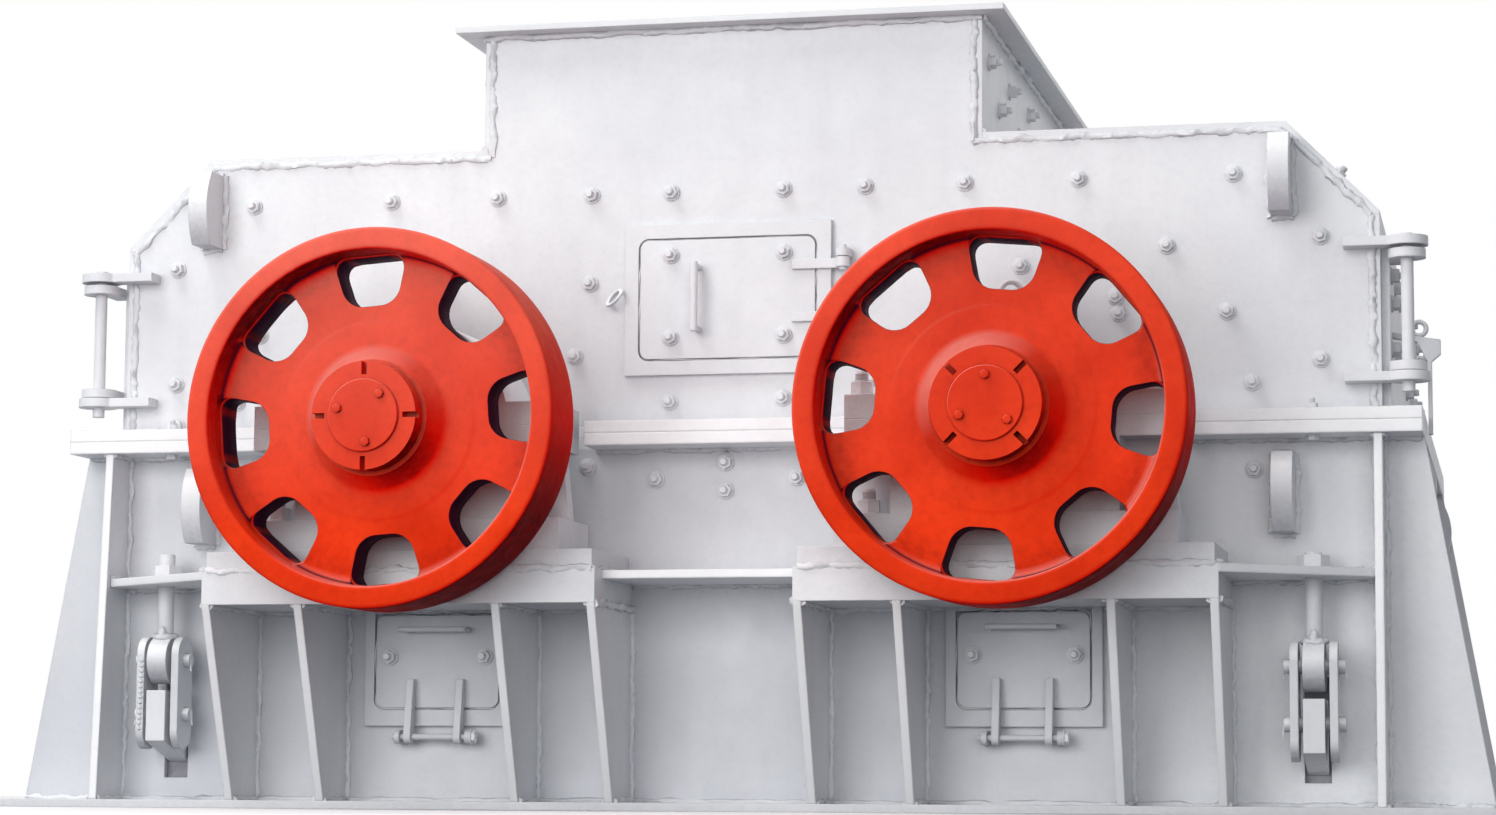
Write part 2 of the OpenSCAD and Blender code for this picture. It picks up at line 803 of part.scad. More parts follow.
module end_caps(s) {
    at_front() end_cap(s);
    at_back() end_cap(s);
}

// ---- doors in the front and back walls ----

module panel(w, h) {
    upright(-door_t, door_t) rounded_rect(w, h, door_r);
}

module door_frame() {
    outer_w = door_w + 2 * door_frame_w;
    outer_h = door_h + 2 * door_frame_w;
    color(paint) at_front() translate([0, 0, door_z]) {
        difference() {
            block(0, outer_w, -door_t, 0, -outer_h / 2, outer_h / 2);
            upright(-door_t - over, door_t + 2 * over)
                rounded_rect(door_w + 2 * door_gap, door_h + 2 * door_gap, door_r + door_gap);
        }
        for (z = strap_heights) door_knuckle(z);
    }
}

// Fixed half of a small hinge, above the strap at height z: a block with an eye round the pin
module door_knuckle(z) {
    lo = z + strap_h / 2 + hinge_gap;
    hi = lo + knuckle_h;
    block(door_pin_x, 2 * knuckle_r, -small_pin_out, 0, lo, hi);
    rod_z(door_pin_x, -small_pin_out, lo, hi, knuckle_r);
    rod_z(door_pin_x, -small_pin_out, lo - hinge_gap - strap_h - small_pin_tail, hi + small_pin_tail,
          small_pin_d / 2);
}

module inspection_door() {
    half = strap_h / 2;
    color(paint) at_front() translate([0, 0, door_z]) {
        panel(door_w, door_h);
        for (z = strap_heights) difference() {
            union() {
                translate([door_w / 2 - strap_on, -door_t - strap_t, z - half])
                    cube([strap_on + door_pin_off, strap_t, strap_h]);
                rod_z(door_pin_x, -small_pin_out, z - half, z + half, knuckle_r);
            }
            rod_z(door_pin_x, -small_pin_out, -door_h, door_h, small_pin_d / 2 + pin_clear);
        }
    }
}

module handle_bar(d, post_d) {
    rod_z(0, -door_t - handle_out, -handle_len / 2, handle_len / 2, d / 2);
    for (s = sides) rod_y(0, -door_t - handle_out, -door_t, s * (handle_len - d) / 2, post_d / 2);
}

module door_handle() {
    color(paint) at_front() translate([-handle_x, 0, door_z]) handle_bar(handle_d, handle_post_d);
}

// ---- lower hatches ----

// The frame is open at its top, where the seat closes it
module hatch_frame() {
    outer_w = hatch_w + 2 * hatch_frame_w;
    lo = hatch_z - hatch_h / 2 - hatch_frame_lo;
    tall = hatch_h + 2 * door_gap + 2 * hatch_top_gap;
    for (s = sides) translate([s * rotor_gap / 2, 0, 0]) {
        difference() {
            block(0, outer_w, -door_t, 0, lo, seat_bottom_z);
            translate([0, 0, hatch_z - hatch_h / 2 - door_gap + tall / 2])
                upright(-door_t - over, door_t + 2 * over)
                    rounded_rect(hatch_w + 2 * door_gap, tall, door_r + door_gap);
            block(0, hatch_w + 2 * door_gap, -door_t - over, over, hatch_z, seat_bottom_z + over);
        }
        for (k = sides) hatch_bracket(k);
        rod_x(0, hatch_pin_len, -small_pin_out, hatch_pin_z, hatch_pin_d / 2);
    }
}

// Fixed half of a hatch hinge: a plate on the wall with a round end about the pin
module hatch_bracket(k) {
    crossways(k * (hatch_pin_len / 2 - small_pin_tail - bracket_t / 2), bracket_t) {
        translate([-small_pin_out, hatch_pin_z]) circle(knuckle_r);
        translate([-small_pin_out, hatch_pin_z - knuckle_r]) square([small_pin_out, 2 * knuckle_r]);
    }
}

module hatch() {
    translate([0, 0, hatch_z]) {
        panel(hatch_w, hatch_h);
        translate([0, 0, hatch_h / 2 - hatch_handle_off]) rotate([0, 90, 0])
            handle_bar(hatch_handle_d, hatch_handle_d);
    }
    for (x = [-hatch_strap_off, hatch_strap_off]) hatch_strap(x);
}

// A plate on edge, from the panel down to an eye round the hinge pin
module hatch_strap(x) {
    panel_lo = hatch_z - hatch_h / 2;
    lip_hi = panel_lo + hatch_strap_on;
    difference() {
        crossways(x, hatch_strap_w) {
            polygon([
                [-door_t, panel_lo], [-door_t, lip_hi], [-door_t - hatch_strap_lip, lip_hi],
                [-small_pin_out - knuckle_r, hatch_pin_z], [knuckle_r - small_pin_out, hatch_pin_z],
                [knuckle_r - small_pin_out, panel_lo]
            ]);
            translate([-small_pin_out, hatch_pin_z]) circle(knuckle_r);
        }
        rod_x(x, hatch_strap_w + 2 * over, -small_pin_out, hatch_pin_z, hatch_pin_d / 2 + pin_clear);
    }
}

module front_hatch(s) {
    color(paint) at_front() translate([s * rotor_gap / 2, 0, 0]) hatch();
}

module hatch_frames() {
    color(paint) at_front() hatch_frame();
}

// The covers of the back wall stay shut: one at the door and one at each hatch
module back_covers() {
    color(paint) at_back() {
        translate([0, 0, door_z]) upright(-door_t, door_t)
            rounded_rect(door_w + 2 * door_frame_w, door_h + 2 * door_frame_w, door_r);
        for (s = sides) translate([s * rotor_gap / 2, 0, hatch_z])
            upright(-door_t, door_t) rounded_rect(hatch_w, hatch_h, door_r);
    }
}

// ---- end doors ----

module hinge_eye(s, z, r) {
    rod_z(s * end_pin_x, -end_pin_front, z, z + hinge_t, r);
}

module end_hinge(s) {
    for (z = [hinge_lo_z, hinge_hi_z]) {
        translate([s * end_pin_x - (s > 0 ? hinge_bar_len : 0), -2 * end_pin_front, z])
            cube([hinge_bar_len, 2 * end_pin_front, hinge_t]);
        hinge_eye(s, z, hinge_eye_r);
    }
    rod_z(s * end_pin_x, -end_pin_front, hinge_lo_z - end_pin_foot, hinge_hi_z + hinge_t + end_pin_head,
          end_pin_d / 2);
}

module end_hinges() {
    color(paint) at_front() for (s = sides) end_hinge(s);
}

module end_door(s) {
    lo = end_door_lo;
    hi = lo + end_door_h;
    color(paint) difference() {
        union() {
            block(s * (end_x + plate_t / 2), plate_t, end_door_edge - wall_y, wall_y - end_door_edge, lo, hi);
            for (z = [hinge_lo_z + hinge_t + hinge_gap, hinge_hi_z - hinge_t - hinge_hi_gap])
                translate([0, -wall_y, 0]) door_eye(s, z);
            if (s > 0) end_latch(latch_y - wall_y);
        }
        rod_z(s * end_pin_x, -wall_y - end_pin_front, lo - over, hi + over, end_pin_d / 2 + pin_clear);
    }
}

// Eye plate of an end door: from the face of the door out to its hinge pin
module door_eye(s, z) {
    reach = end_pin_x - end_face;
    hinge_eye(s, z, door_eye_r);
    block(s * (end_face + reach / 2), reach, -end_pin_front, eye_len - end_pin_front, z, z + hinge_t);
}

// A bar on the right end door, taller at its tip, with a strip hanging from it past the split
// flanges
module end_latch(y) {
    tip_z = latch_z - latch_drop;
    chin_z = tip_z - latch_tip_h - latch_chin_h;
    strip_in = end_face + latch_strip_out;
    half = latch_t / 2;
    upright(y - half, latch_t) polygon([
        [end_face, latch_z], [end_face + latch_out, tip_z],
        [end_face + latch_out, tip_z - latch_tip_h], [strip_in + latch_strip_t, chin_z],
        [strip_in, chin_z], [end_face + latch_neck, latch_z - latch_root_h - latch_drop / 2],
        [end_face, latch_z - latch_root_h]
    ]);
    block(strip_in + latch_strip_t / 2, latch_strip_t, y - half, y + half, latch_strip_lo, tip_z);
}

// ---- grate beams and their adjusters ----

// A beam through both walls; each end has a gusset below it that slopes back into the slot
module grate_beam(s, lift) {
    tip = wall_y + beam_out;
    foot = wall_y - plate_t;
    color(paint) translate([0, 0, lift]) crossways(s * beam_x, beam_t) polygon([
        [-tip, beam_z + beam_h], [tip, beam_z + beam_h], [tip, beam_z], [foot, beam_z - gusset_h],
        [foot, beam_z], [-foot, beam_z], [-foot, beam_z - gusset_h], [-tip, beam_z]
    ]);
}

module link(x) {
    lo = link_lo_z - link_foot;
    hi = link_hi_z + link_head;
    crossways(x, link_t) rounded_outline([
        [-rod_out - link_w / 2, lo], [-rod_out + link_w / 2, lo],
        [-rod_out + link_w / 2, hi], [-rod_out - link_w / 2, hi]
    ], link_r);
}

// A rod with a sleeve at its foot, hung between two link plates
module hanger(s) {
    x = s * beam_x;
    side = beam_t / 2 + link_gap;
    pin = link_gap + link_t + link_pin_end;
    for (k = sides) link(x + k * (side + link_t / 2));
    rod_x(x, beam_t, -rod_out, link_hi_z, rod_eye_r);
    rod_z(x, -rod_out, link_hi_z, rod_top, rod_d / 2);
    for (z = [link_lo_z, link_hi_z]) for (k = sides)
        rod_x(x + k * (beam_t + pin) / 2, pin, -rod_out, z, link_pin_d / 2);
}

module hangers(s, lift) {
    color(paint) translate([0, 0, lift]) {
        at_front() hanger(s);
        at_back() hanger(s);
    }
}

module adjusting_nut(s) {
    difference() {
        translate([s * beam_x, -rod_out, seat_z]) cylinder(h = adj_nut_h, d = adj_nut_w / cos(30), $fn = 6);
        rod_z(s * beam_x, -rod_out, seat_z - over, seat_z + adj_nut_h + over, rod_d / 2 + pin_clear);
    }
}

module adjusting_nuts() {
    color(paint) for (s = sides) {
        at_front() adjusting_nut(s);
        at_back() adjusting_nut(s);
    }
}

// ---- lifting lugs ----

// A lug with a round outer edge; the middle of that round lies lug_r inside the edge
module lug(x, z) {
    crossways(x, lug_t) intersection() {
        translate([lug_r - lug_out, z]) circle(lug_r);
        translate([-lug_out, z - lug_h / 2]) square([lug_out, lug_h]);
    }
}

module wall_lugs() {
    for (s = sides, z = [lug_lo_z, lug_hi_z]) lug(s * lug_x, z);
}

module end_lugs(s) {
    rotate([0, 0, s * 90]) translate([0, -end_x, 0]) for (k = sides) lug(k * end_lug_y, end_lug_z);
}

module lifting_lugs() {
    color(paint) {
        at_front() wall_lugs();
        at_back() wall_lugs();
        for (s = sides) end_lugs(s);
    }
}

base_frame();
color(paint) at_front() lower_wall();  // lower_wall_front
color(paint) at_back() lower_wall();  // lower_wall_back
lower_end_walls();
color(paint) at_front() ribs();  // ribs_front
color(paint) at_back() ribs();  // ribs_back
bearing_seats();
shelves();
color(paint) split_ring(split_z - flange_t);  // lower_flange
color(paint) split_ring(split_z);  // upper_flange
color(paint) at_front() upper_wall();  // upper_wall_front
color(paint) at_back() upper_wall();  // upper_wall_back
roof_plates();
end_frames();
hopper_sides();
hopper_rim();
color(paint) at_front() bearing_base();  // bearings_front
color(paint) at_back() bearing_base();  // bearings_back
color(paint) at_front() bearing_cap();  // bearing_caps_front
color(paint) at_back() bearing_cap();  // bearing_caps_back
door_frame();
hatch_frames();
back_covers();
lifting_lugs();
end_hinges();
adjusting_nuts();
shaft(-1);  // shaft_left
discs(-1);  // discs_left
hammers(-1);  // hammers_left
at_front() flywheel(-1, turn_left);  // flywheel_left_front
at_back() flywheel(-1, turn_left);  // flywheel_left_back
lock_nuts(-1, 0);  // lock_nuts_left
end_caps(-1);  // end_caps_left
shaft(1);  // shaft_right
discs(1);  // discs_right
hammers(1);  // hammers_right
at_front() flywheel(1, turn_right);  // flywheel_right_front
at_back() flywheel(1, turn_right);  // flywheel_right_back
lock_nuts(1, 45);  // lock_nuts_right
end_caps(1);  // end_caps_right
inspection_door();
door_handle();
front_hatch(-1);  // hatch_left
front_hatch(1);  // hatch_right
end_door(-1);  // end_door_left
end_door(1);  // end_door_right
grate_beam(-1, lift_left);  // grate_beam_left
hangers(-1, lift_left);  // grate_hangers_left
grate_beam(1, lift_right);  // grate_beam_right
hangers(1, lift_right);  // grate_hangers_right
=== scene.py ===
# Twin-rotor sand making machine: finishes, weld beads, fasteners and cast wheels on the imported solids
import math
import bpy
from mathutils import Matrix, Vector


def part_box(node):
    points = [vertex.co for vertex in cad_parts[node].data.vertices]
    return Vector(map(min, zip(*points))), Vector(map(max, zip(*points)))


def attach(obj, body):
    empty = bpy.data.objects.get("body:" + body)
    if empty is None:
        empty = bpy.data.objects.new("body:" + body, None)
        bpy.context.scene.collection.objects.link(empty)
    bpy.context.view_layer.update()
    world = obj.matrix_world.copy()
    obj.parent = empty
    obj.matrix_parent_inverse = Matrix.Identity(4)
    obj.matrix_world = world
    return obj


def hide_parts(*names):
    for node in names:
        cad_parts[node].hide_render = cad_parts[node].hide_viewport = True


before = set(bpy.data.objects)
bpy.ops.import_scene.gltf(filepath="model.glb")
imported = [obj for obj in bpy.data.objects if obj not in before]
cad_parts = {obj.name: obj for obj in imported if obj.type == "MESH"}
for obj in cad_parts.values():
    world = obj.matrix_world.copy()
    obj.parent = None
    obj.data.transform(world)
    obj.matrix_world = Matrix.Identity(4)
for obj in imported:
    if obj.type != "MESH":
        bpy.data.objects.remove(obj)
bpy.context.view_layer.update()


# Places that most pieces share, in metres, from the solids
def low(node):
    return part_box(node)[0]


def high(node):
    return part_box(node)[1]


def middleX(node):
    return (low(node).x + high(node).x) / 2


def middleZ(node):
    return (low(node).z + high(node).z) / 2


wallY = high("lower_wall_back").y                 # outer faces of the long walls
endX = high("end_frames").x                       # outer faces of the end walls
hopperX = high("hopper_sides").x                  # outer faces of the hopper's sides
shaftX, shaftZ = middleX("shaft_right"), middleZ("shaft_right")
beamX = middleX("grate_beam_right")
doorZ = middleZ("door_frame")
hatchTop = high("hatch_left").z
splitLow, splitHigh = low("lower_flange").z, high("upper_flange").z
seatLow, seatZ = low("bearing_seats").z, high("bearing_seats").z
shelfLow, shelfTop = low("shelves").z, high("shelves").z
baseTop = high("base_frame").z
roofZ = high("roof_plates").z
plate = 0.020                                     # thickness of the walls, the ribs and the end doors
sides = (-1, 1)                                   # left and right, or front and back
sideNames = ((-1, "left"), (1, "right"))
wayNames = ((-1, "front"), (1, "back"))


def turnOf(degrees, axis):
    return Matrix.Rotation(math.radians(degrees), 4, axis)


# Turns that lay a piece modelled with its outer side up against a face of the machine
toFront = turnOf(90, "X")
toBack = turnOf(180, "Z") @ toFront
toRight = turnOf(90, "Z") @ toFront
toLeft = turnOf(-90, "Z") @ toFront
toTop = Matrix.Identity(4)
toGround = turnOf(180, "X")
toWall = {-1: toFront, 1: toBack}


def clearPick():
    if bpy.context.object and bpy.context.object.mode != "OBJECT":
        bpy.ops.object.mode_set(mode="OBJECT")
    bpy.ops.object.select_all(action="DESELECT")


def pick(*pieces):
    clearPick()
    for piece in pieces:
        piece.select_set(True)
    bpy.context.view_layer.objects.active = pieces[0]


def pickAll():
    bpy.ops.mesh.select_all(action="SELECT")


def editPiece(piece, what="VERT", whole=False):
    pick(piece)
    bpy.ops.object.mode_set(mode="EDIT")
    bpy.ops.mesh.select_mode(type=what)
    bpy.ops.mesh.select_all(action="SELECT" if whole else "DESELECT")


def doneEditing():
    bpy.ops.object.mode_set(mode="OBJECT")


# Faces chosen by their middles, edges by their two ends
def pickFaces(piece, test):
    editPiece(piece, "FACE")
    doneEditing()
    for face in piece.data.polygons:
        face.select = test(face.center)
    bpy.ops.object.mode_set(mode="EDIT")


def pickEdges(piece, test):
    editPiece(piece, "EDGE")
    doneEditing()
    corners = piece.data.vertices
    for edge in piece.data.edges:
        edge.select = test(corners[edge.vertices[0]].co, corners[edge.vertices[1]].co)
    bpy.ops.object.mode_set(mode="EDIT")


def outwards(piece):
    editPiece(piece, whole=True)
    bpy.ops.mesh.remove_doubles(threshold=0.00001)
    bpy.ops.mesh.normals_make_consistent(inside=False)
    doneEditing()


def stretched(piece, *scale):
    editPiece(piece, whole=True)
    bpy.ops.transform.resize(value=scale, center_override=(0, 0, 0))
    doneEditing()


def applyModifier(piece, modifier):
    pick(piece)
    bpy.ops.object.modifier_apply(modifier=modifier.name)


def cutWith(piece, tool, how="DIFFERENCE"):
    cut = piece.modifiers.new("cut", "BOOLEAN")
    cut.operation, cut.object, cut.solver = how, tool, "EXACT"
    applyModifier(piece, cut)
    bpy.data.objects.remove(tool)


# Moves a surface in and out with clouds of one grain, both in metres
def roughen(piece, grain, strength, detail=2, colours="GRAYSCALE", contrast=1.0, **settings):
    clouds = bpy.data.textures.new("clouds", "CLOUDS")
    clouds.noise_scale, clouds.noise_depth = grain, detail
    clouds.cloud_type, clouds.contrast = colours, contrast
    uneven = piece.modifiers.new("uneven", "DISPLACE")
    uneven.texture, uneven.strength, uneven.mid_level = clouds, strength, 0.5
    for key, value in settings.items():
        setattr(uneven, key, value)
    applyModifier(piece, uneven)


# Round part: a half section walked from (radius, height) to (radius, height), spun about Z
def turnedPart(section, steps):
    clearPick()
    bpy.ops.mesh.primitive_plane_add(size=0.01, location=(0, 0, 0))
    piece = bpy.context.object
    editPiece(piece, whole=True)
    bpy.ops.mesh.merge(type="CENTER")
    bpy.ops.transform.translate(value=(section[0][0], 0, section[0][1]))
    for (r0, z0), (r1, z1) in zip(section, section[1:]):
        bpy.ops.mesh.extrude_vertices_move(TRANSFORM_OT_translate={"value": (r1 - r0, 0, z1 - z0)})
    pickAll()
    bpy.ops.mesh.spin(steps=steps, angle=2 * math.pi, center=(0, 0, 0), axis=(0, 0, 1))
    outwards(piece)
    return piece


def placed(piece, where, turn=toTop):
    piece.matrix_world = Matrix.Translation(Vector(where)) @ turn
    return piece


def copyOf(pattern, where, turn=toTop):
    twin = pattern.copy()
    twin.data = pattern.data.copy()
    bpy.context.collection.objects.link(twin)
    return placed(twin, where, turn)


def putAway(*patterns):
    for pattern in patterns:
        bpy.data.objects.remove(pattern)


def joined(pieces):
    pick(*pieces)
    if len(pieces) > 1:
        bpy.ops.object.join()
    return bpy.context.object


# Joins pieces into one, with its place in its mesh, gives it its finish and the body it rides on
def finished(name, pieces, body, finish, angle=35):
    pick(*pieces)
    bpy.ops.object.transform_apply(location=True, rotation=True, scale=True)
    piece = joined(pieces)
    piece.name = piece.data.name = name
    bpy.ops.object.shade_smooth_by_angle(angle=math.radians(angle))
    piece.data.materials.clear()
    piece.data.materials.append(finish)
    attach(piece, body)
    return piece


# Node-based finishes. Every pattern reads Object coordinates, which are metres here.
def addNode(tree, kind, inputs=None, **settings):
    node = tree.nodes.new("ShaderNode" + kind)
    for key, value in settings.items():
        setattr(node, key, value)
    for key, value in (inputs or {}).items():
        if isinstance(value, bpy.types.NodeSocket):
            tree.links.new(value, node.inputs[key])
        else:
            node.inputs[key].default_value = value
    return node


def noiseOf(tree, place, scale, detail=3.0):
    return addNode(tree, "TexNoise", {"Vector": place, "Scale": scale, "Detail": detail}).outputs["Fac"]


# Ramp: what a value between start and full comes to, held at both ends
def levelOf(tree, value, start, full, toStart=0.0, toFull=1.0):
    return addNode(tree, "MapRange", {"Value": value, "From Min": start, "From Max": full,
                                      "To Min": toStart, "To Max": toFull}).outputs["Result"]


def mixOf(tree, part, first, second, how="MIX"):
    node = addNode(tree, "Mix", data_type="RGBA", blend_type=how)
    for socket, value in ((0, part), (6, first), (7, second)):
        if isinstance(value, bpy.types.NodeSocket):
            tree.links.new(value, node.inputs[socket])
        else:
            node.inputs[socket].default_value = value
    return node.outputs[2]


def mathOf(tree, how, *values):
    return addNode(tree, "Math", dict(enumerate(values)), operation=how).outputs[0]


def timesOf(tree, first, second):
    return mathOf(tree, "MULTIPLY", first, second)


def vectorOf(tree, how, *values):
    return addNode(tree, "VectorMath", dict(enumerate(values)), operation=how).outputs


def shadeOf(tree, reach):
    return addNode(tree, "AmbientOcclusion", {"Distance": reach}, samples=6).outputs["AO"]


# What all finishes share. Ramps are start and full, then what they come to there.
coat = {"patch": (0.35, 0.65), "fleck": (0.45, 0.75, 0.0), "run": (0.5, 0.75, 0.0), "runScale": 1.6,
        "runStretch": (9.0, 9.0, 0.8), "shut": (1.0, 0.25), "cornerShade": (0.3, 0.6, 0.6, 1.0),
        "deep": (0.95, 0.35, 0.0), "turned": (0.98, 0.8), "rubbedAndGlint": (0.4, 0.6), "paintedLightPatchy": (0.3, 0.6, 0.8, 1.0),
        "paintedLightSpeckle": (0.25, 0.6, 0.75, 1.0), "sheen": (0.3, 0.7), "windowWall": (0.75, 0.35, 0.0, 0.97)}


# Where the walls of the wheel windows are: between two radii about a shaft, and facing along neither end; the
# mask of their painted shade
def revealPart(tree, place, aside, inner, outer):
    folded = vectorOf(tree, "ABSOLUTE", place)[0]
    offset = vectorOf(tree, "SUBTRACT", folded, (shaftX, 0.0, shaftZ))[0]
    across = vectorOf(tree, "MULTIPLY", offset, (1.0, 0.0, 1.0))[0]
    radius = vectorOf(tree, "LENGTH", across)["Value"]
    ends = mathOf(tree, "ABSOLUTE", addNode(tree, "SeparateXYZ", {"Vector": aside}).outputs["Y"])
    band = timesOf(tree, levelOf(tree, radius, *inner), levelOf(tree, radius, *outer))
    return timesOf(tree, band, levelOf(tree, ends, *coat["windowWall"]))


def surfaceFinish(name, look):
    finish = bpy.data.materials.new(name)
    finish.use_nodes = True
    tree = finish.node_tree
    shader = tree.nodes["Principled BSDF"]
    coordinates = addNode(tree, "TexCoord")
    place, aside = coordinates.outputs["Object"], coordinates.outputs["Normal"]
    broad = noiseOf(tree, place, look["patches"], detail=4.0)
    fine = noiseOf(tree, place, look["specks"], detail=5.0)
    colour = mixOf(tree, levelOf(tree, broad, *coat["patch"]), look["dark"], look["light"])
    colour = mixOf(tree, levelOf(tree, fine, *coat["fleck"], look["mottle"]), colour, look["fleck"])
    runs = addNode(tree, "Mapping", {"Vector": place, "Scale": coat["runStretch"]}).outputs["Vector"]
    streaks = noiseOf(tree, runs, coat["runScale"], detail=6.0)
    colour = mixOf(tree, levelOf(tree, streaks, *coat["run"], look["streaks"]), colour, look["grimeAndShade"])
    # Painted shade: darker in corners and recesses within reach, the more they are shaded, a little patchy
    shut = shadeOf(tree, look["reach"])
    paintedCornerShade = timesOf(tree, levelOf(tree, shut, *look.get("shut", coat["shut"])),
                    levelOf(tree, fine, *coat["cornerShade"]))
    colour = mixOf(tree, timesOf(tree, paintedCornerShade, look["cornerShade"]), colour, look["grimeAndShade"])
    # Painted shade in wide recesses, darker the more they are shaded
    if "deep" in look:
        tone, reach, most = look["deep"]
        colour = mixOf(tree, levelOf(tree, shadeOf(tree, reach), *coat["deep"], most), colour, tone)
    # Rounded edges, paler where they turn and are rubbed: partly wear, partly painted highlight along the
    # edges
    rounded = addNode(tree, "Bevel", {"Radius": look["edge"]}, samples=5).outputs["Normal"]
    flat = addNode(tree, "NewGeometry").outputs["Normal"]
    turned = vectorOf(tree, "DOT_PRODUCT", rounded, flat)["Value"]
    rubbedAndGlint = timesOf(tree, levelOf(tree, turned, *coat["turned"]), levelOf(tree, fine, *coat["rubbedAndGlint"]))
    colour = mixOf(tree, timesOf(tree, rubbedAndGlint, look["wearAndGlint"]), colour, look["wearAndGlintTone"])
    # Painted light by place: a tone over a ramp in height and one in width, painted shade on the walls and
    # painted highlight high on the wheels
    if "paintedLightByPlace" in look:
        tone, tall, wide = look["paintedLightByPlace"]
        where = addNode(tree, "SeparateXYZ", {"Vector": place}).outputs
        paintedLightByPlace = timesOf(tree, levelOf(tree, where["Z"], *tall), levelOf(tree, where["X"], *wide))
        colour = mixOf(tree, timesOf(tree, paintedLightByPlace, levelOf(tree, broad, *coat["paintedLightPatchy"])), colour, tone)
    # Painted light and painted shade by facing: faces that look towards the direction given for the light
    # take the upper tone, faces that look away take the side and under tones
    for key in ("upper", "side", "under"):
        if key in look:
            tone, most, start, full = look[key]
            lean = vectorOf(tree, "DOT_PRODUCT", aside, look.get("paintedLightFrom", (0.0, 0.0, 1.0)))["Value"]
            part = timesOf(tree, levelOf(tree, lean, start, full), levelOf(tree, fine, *coat["paintedLightSpeckle"]))
            colour = mixOf(tree, timesOf(tree, part, most), colour, tone)
    # Painted shade on the walls of the wheel windows
    if "reveal" in look:
        tone, inner, outer = look["reveal"]
        colour = mixOf(tree, revealPart(tree, place, aside, inner, outer), colour, tone)
    tree.links.new(colour, shader.inputs["Base Color"])
    gloss = noiseOf(tree, place, look["specks"] * 0.35, detail=4.0)
    rough = levelOf(tree, gloss, *coat["sheen"], *look["rough"])
    tree.links.new(rough, shader.inputs["Roughness"])
    shader.inputs["Metallic"].default_value = look.get("metal", 0.0)
    shader.inputs["Specular IOR Level"].default_value = look.get("gloss", 0.5)
    shader.inputs["Specular Tint"].default_value = look.get("sheen", (1, 1, 1, 1))
    normal = rounded
    for scale, height in look["bumps"]:
        normal = addNode(tree, "Bump", {"Height": noiseOf(tree, place, scale), "Strength": 1.0,
                                        "Distance": height, "Normal": normal}).outputs["Normal"]
    tree.links.new(normal, shader.inputs["Normal"])
    return finish


# Colours are linear, lengths are metres. dark and light make the patches of the coat, fleck its specks,
# and grimeAndShade is the tone of its streaks and of the painted shade in corners within reach, where shut
# says at which shading that shade starts and is full, and cornerShade how strong it is. deep is tone, reach
# and strength of painted shade in wide recesses; wearAndGlintTone lies on edges, as wear and painted
# highlight.
# paintedLightByPlace is a tone, painted shade on the walls and painted highlight on the wheels, with a ramp
# over the height and one over the width. upper, side and under are tone, strength and ramp of painted light
# and painted shade for faces that look along paintedLightFrom or away from it. reveal is tone and two ramps
# over the radius, painted shade on the walls of the wheel windows. bumps are (scale, height).
# Pale housing grey: painted shade in corners, in wide recesses and on faces that look down; its pale edges
# are wear and painted highlight
paleGrey = {"dark": (0.760, 0.775, 0.795, 1), "light": (0.835, 0.848, 0.860, 1), "patches": 2.2,
            "fleck": (0.64, 0.655, 0.68, 1), "specks": 55.0, "mottle": 0.20, "streaks": 0.08,
            "grimeAndShade": (0.44, 0.45, 0.48, 1), "cornerShade": 0.45, "reach": 0.05, "edge": 0.0042,
            "wearAndGlintTone": (0.97, 0.975, 0.975, 1), "wearAndGlint": 0.9, "rough": (0.40, 0.58), "gloss": 0.4,
            "deep": ((0.44, 0.445, 0.50, 1), 0.45, 0.10),
            "under": ((0.46, 0.465, 0.49, 1), 0.55, -0.40, -0.90),
            "bumps": ((6.0, 0.0030), (130.0, 0.0004))}
housingPaint = surfaceFinish("housingPaint", paleGrey)
# Walls: dark blue-grey painted shade over most of their length, stronger low down
wallPaint = surfaceFinish("wallPaint", dict(
    paleGrey, paintedLightByPlace=((0.40, 0.41, 0.46, 1), (0.25, 0.65, 0.42, 0.27), (0.90, 1.25, 1.0, 0.0))))
# Flanges, ribs and shelves: painted highlight on their edges and on faces that look to the front
edgePaint = surfaceFinish("edgePaint", dict(
    paleGrey, edge=0.007, wearAndGlintTone=(1.0, 1.0, 1.0, 1), wearAndGlint=1.0, gloss=0.6, paintedLightFrom=(0.0, -1.0, 0.0),
    upper=((0.98, 0.985, 0.99, 1), 0.75, 0.80, 0.97)))
# Castings: painted light on faces that look up, painted shade on faces that look down
castPaint = surfaceFinish("castPaint", dict(
    paleGrey, dark=(0.70, 0.715, 0.74, 1), specks=80.0, edge=0.004, rough=(0.42, 0.62),
    upper=((0.97, 0.975, 0.98, 1), 1.0, 0.02, 0.40), under=((0.38, 0.385, 0.42, 1), 0.75, 0.02, -0.55),
    bumps=((26.0, 0.0022), (210.0, 0.0009))))
# Dark grey of the plates behind the grate slots: painted shade inside the slots
slotShadePaint = surfaceFinish("slotShadePaint", dict(
    paleGrey, dark=(0.20, 0.20, 0.225, 1), light=(0.27, 0.27, 0.30, 1), wearAndGlintTone=(0.34, 0.34, 0.37, 1)))
# Weld beads: strong painted shade in the crevices between the lumps and along their edges
weldPaint = surfaceFinish("weldPaint", dict(
    paleGrey, light=(0.85, 0.865, 0.87, 1), reach=0.014, edge=0.001, cornerShade=0.85, shut=(0.95, 0.45),
    bumps=((90.0, 0.0016), (260.0, 0.0007))))
# Bolts: painted shade round their washers and nuts
boltPaint = surfaceFinish("boltPaint", dict(
    paleGrey, dark=(0.78, 0.79, 0.81, 1), light=(0.86, 0.87, 0.88, 1), reach=0.012, edge=0.001,
    cornerShade=0.6, wearAndGlint=0.8, bumps=((160.0, 0.0005),)))
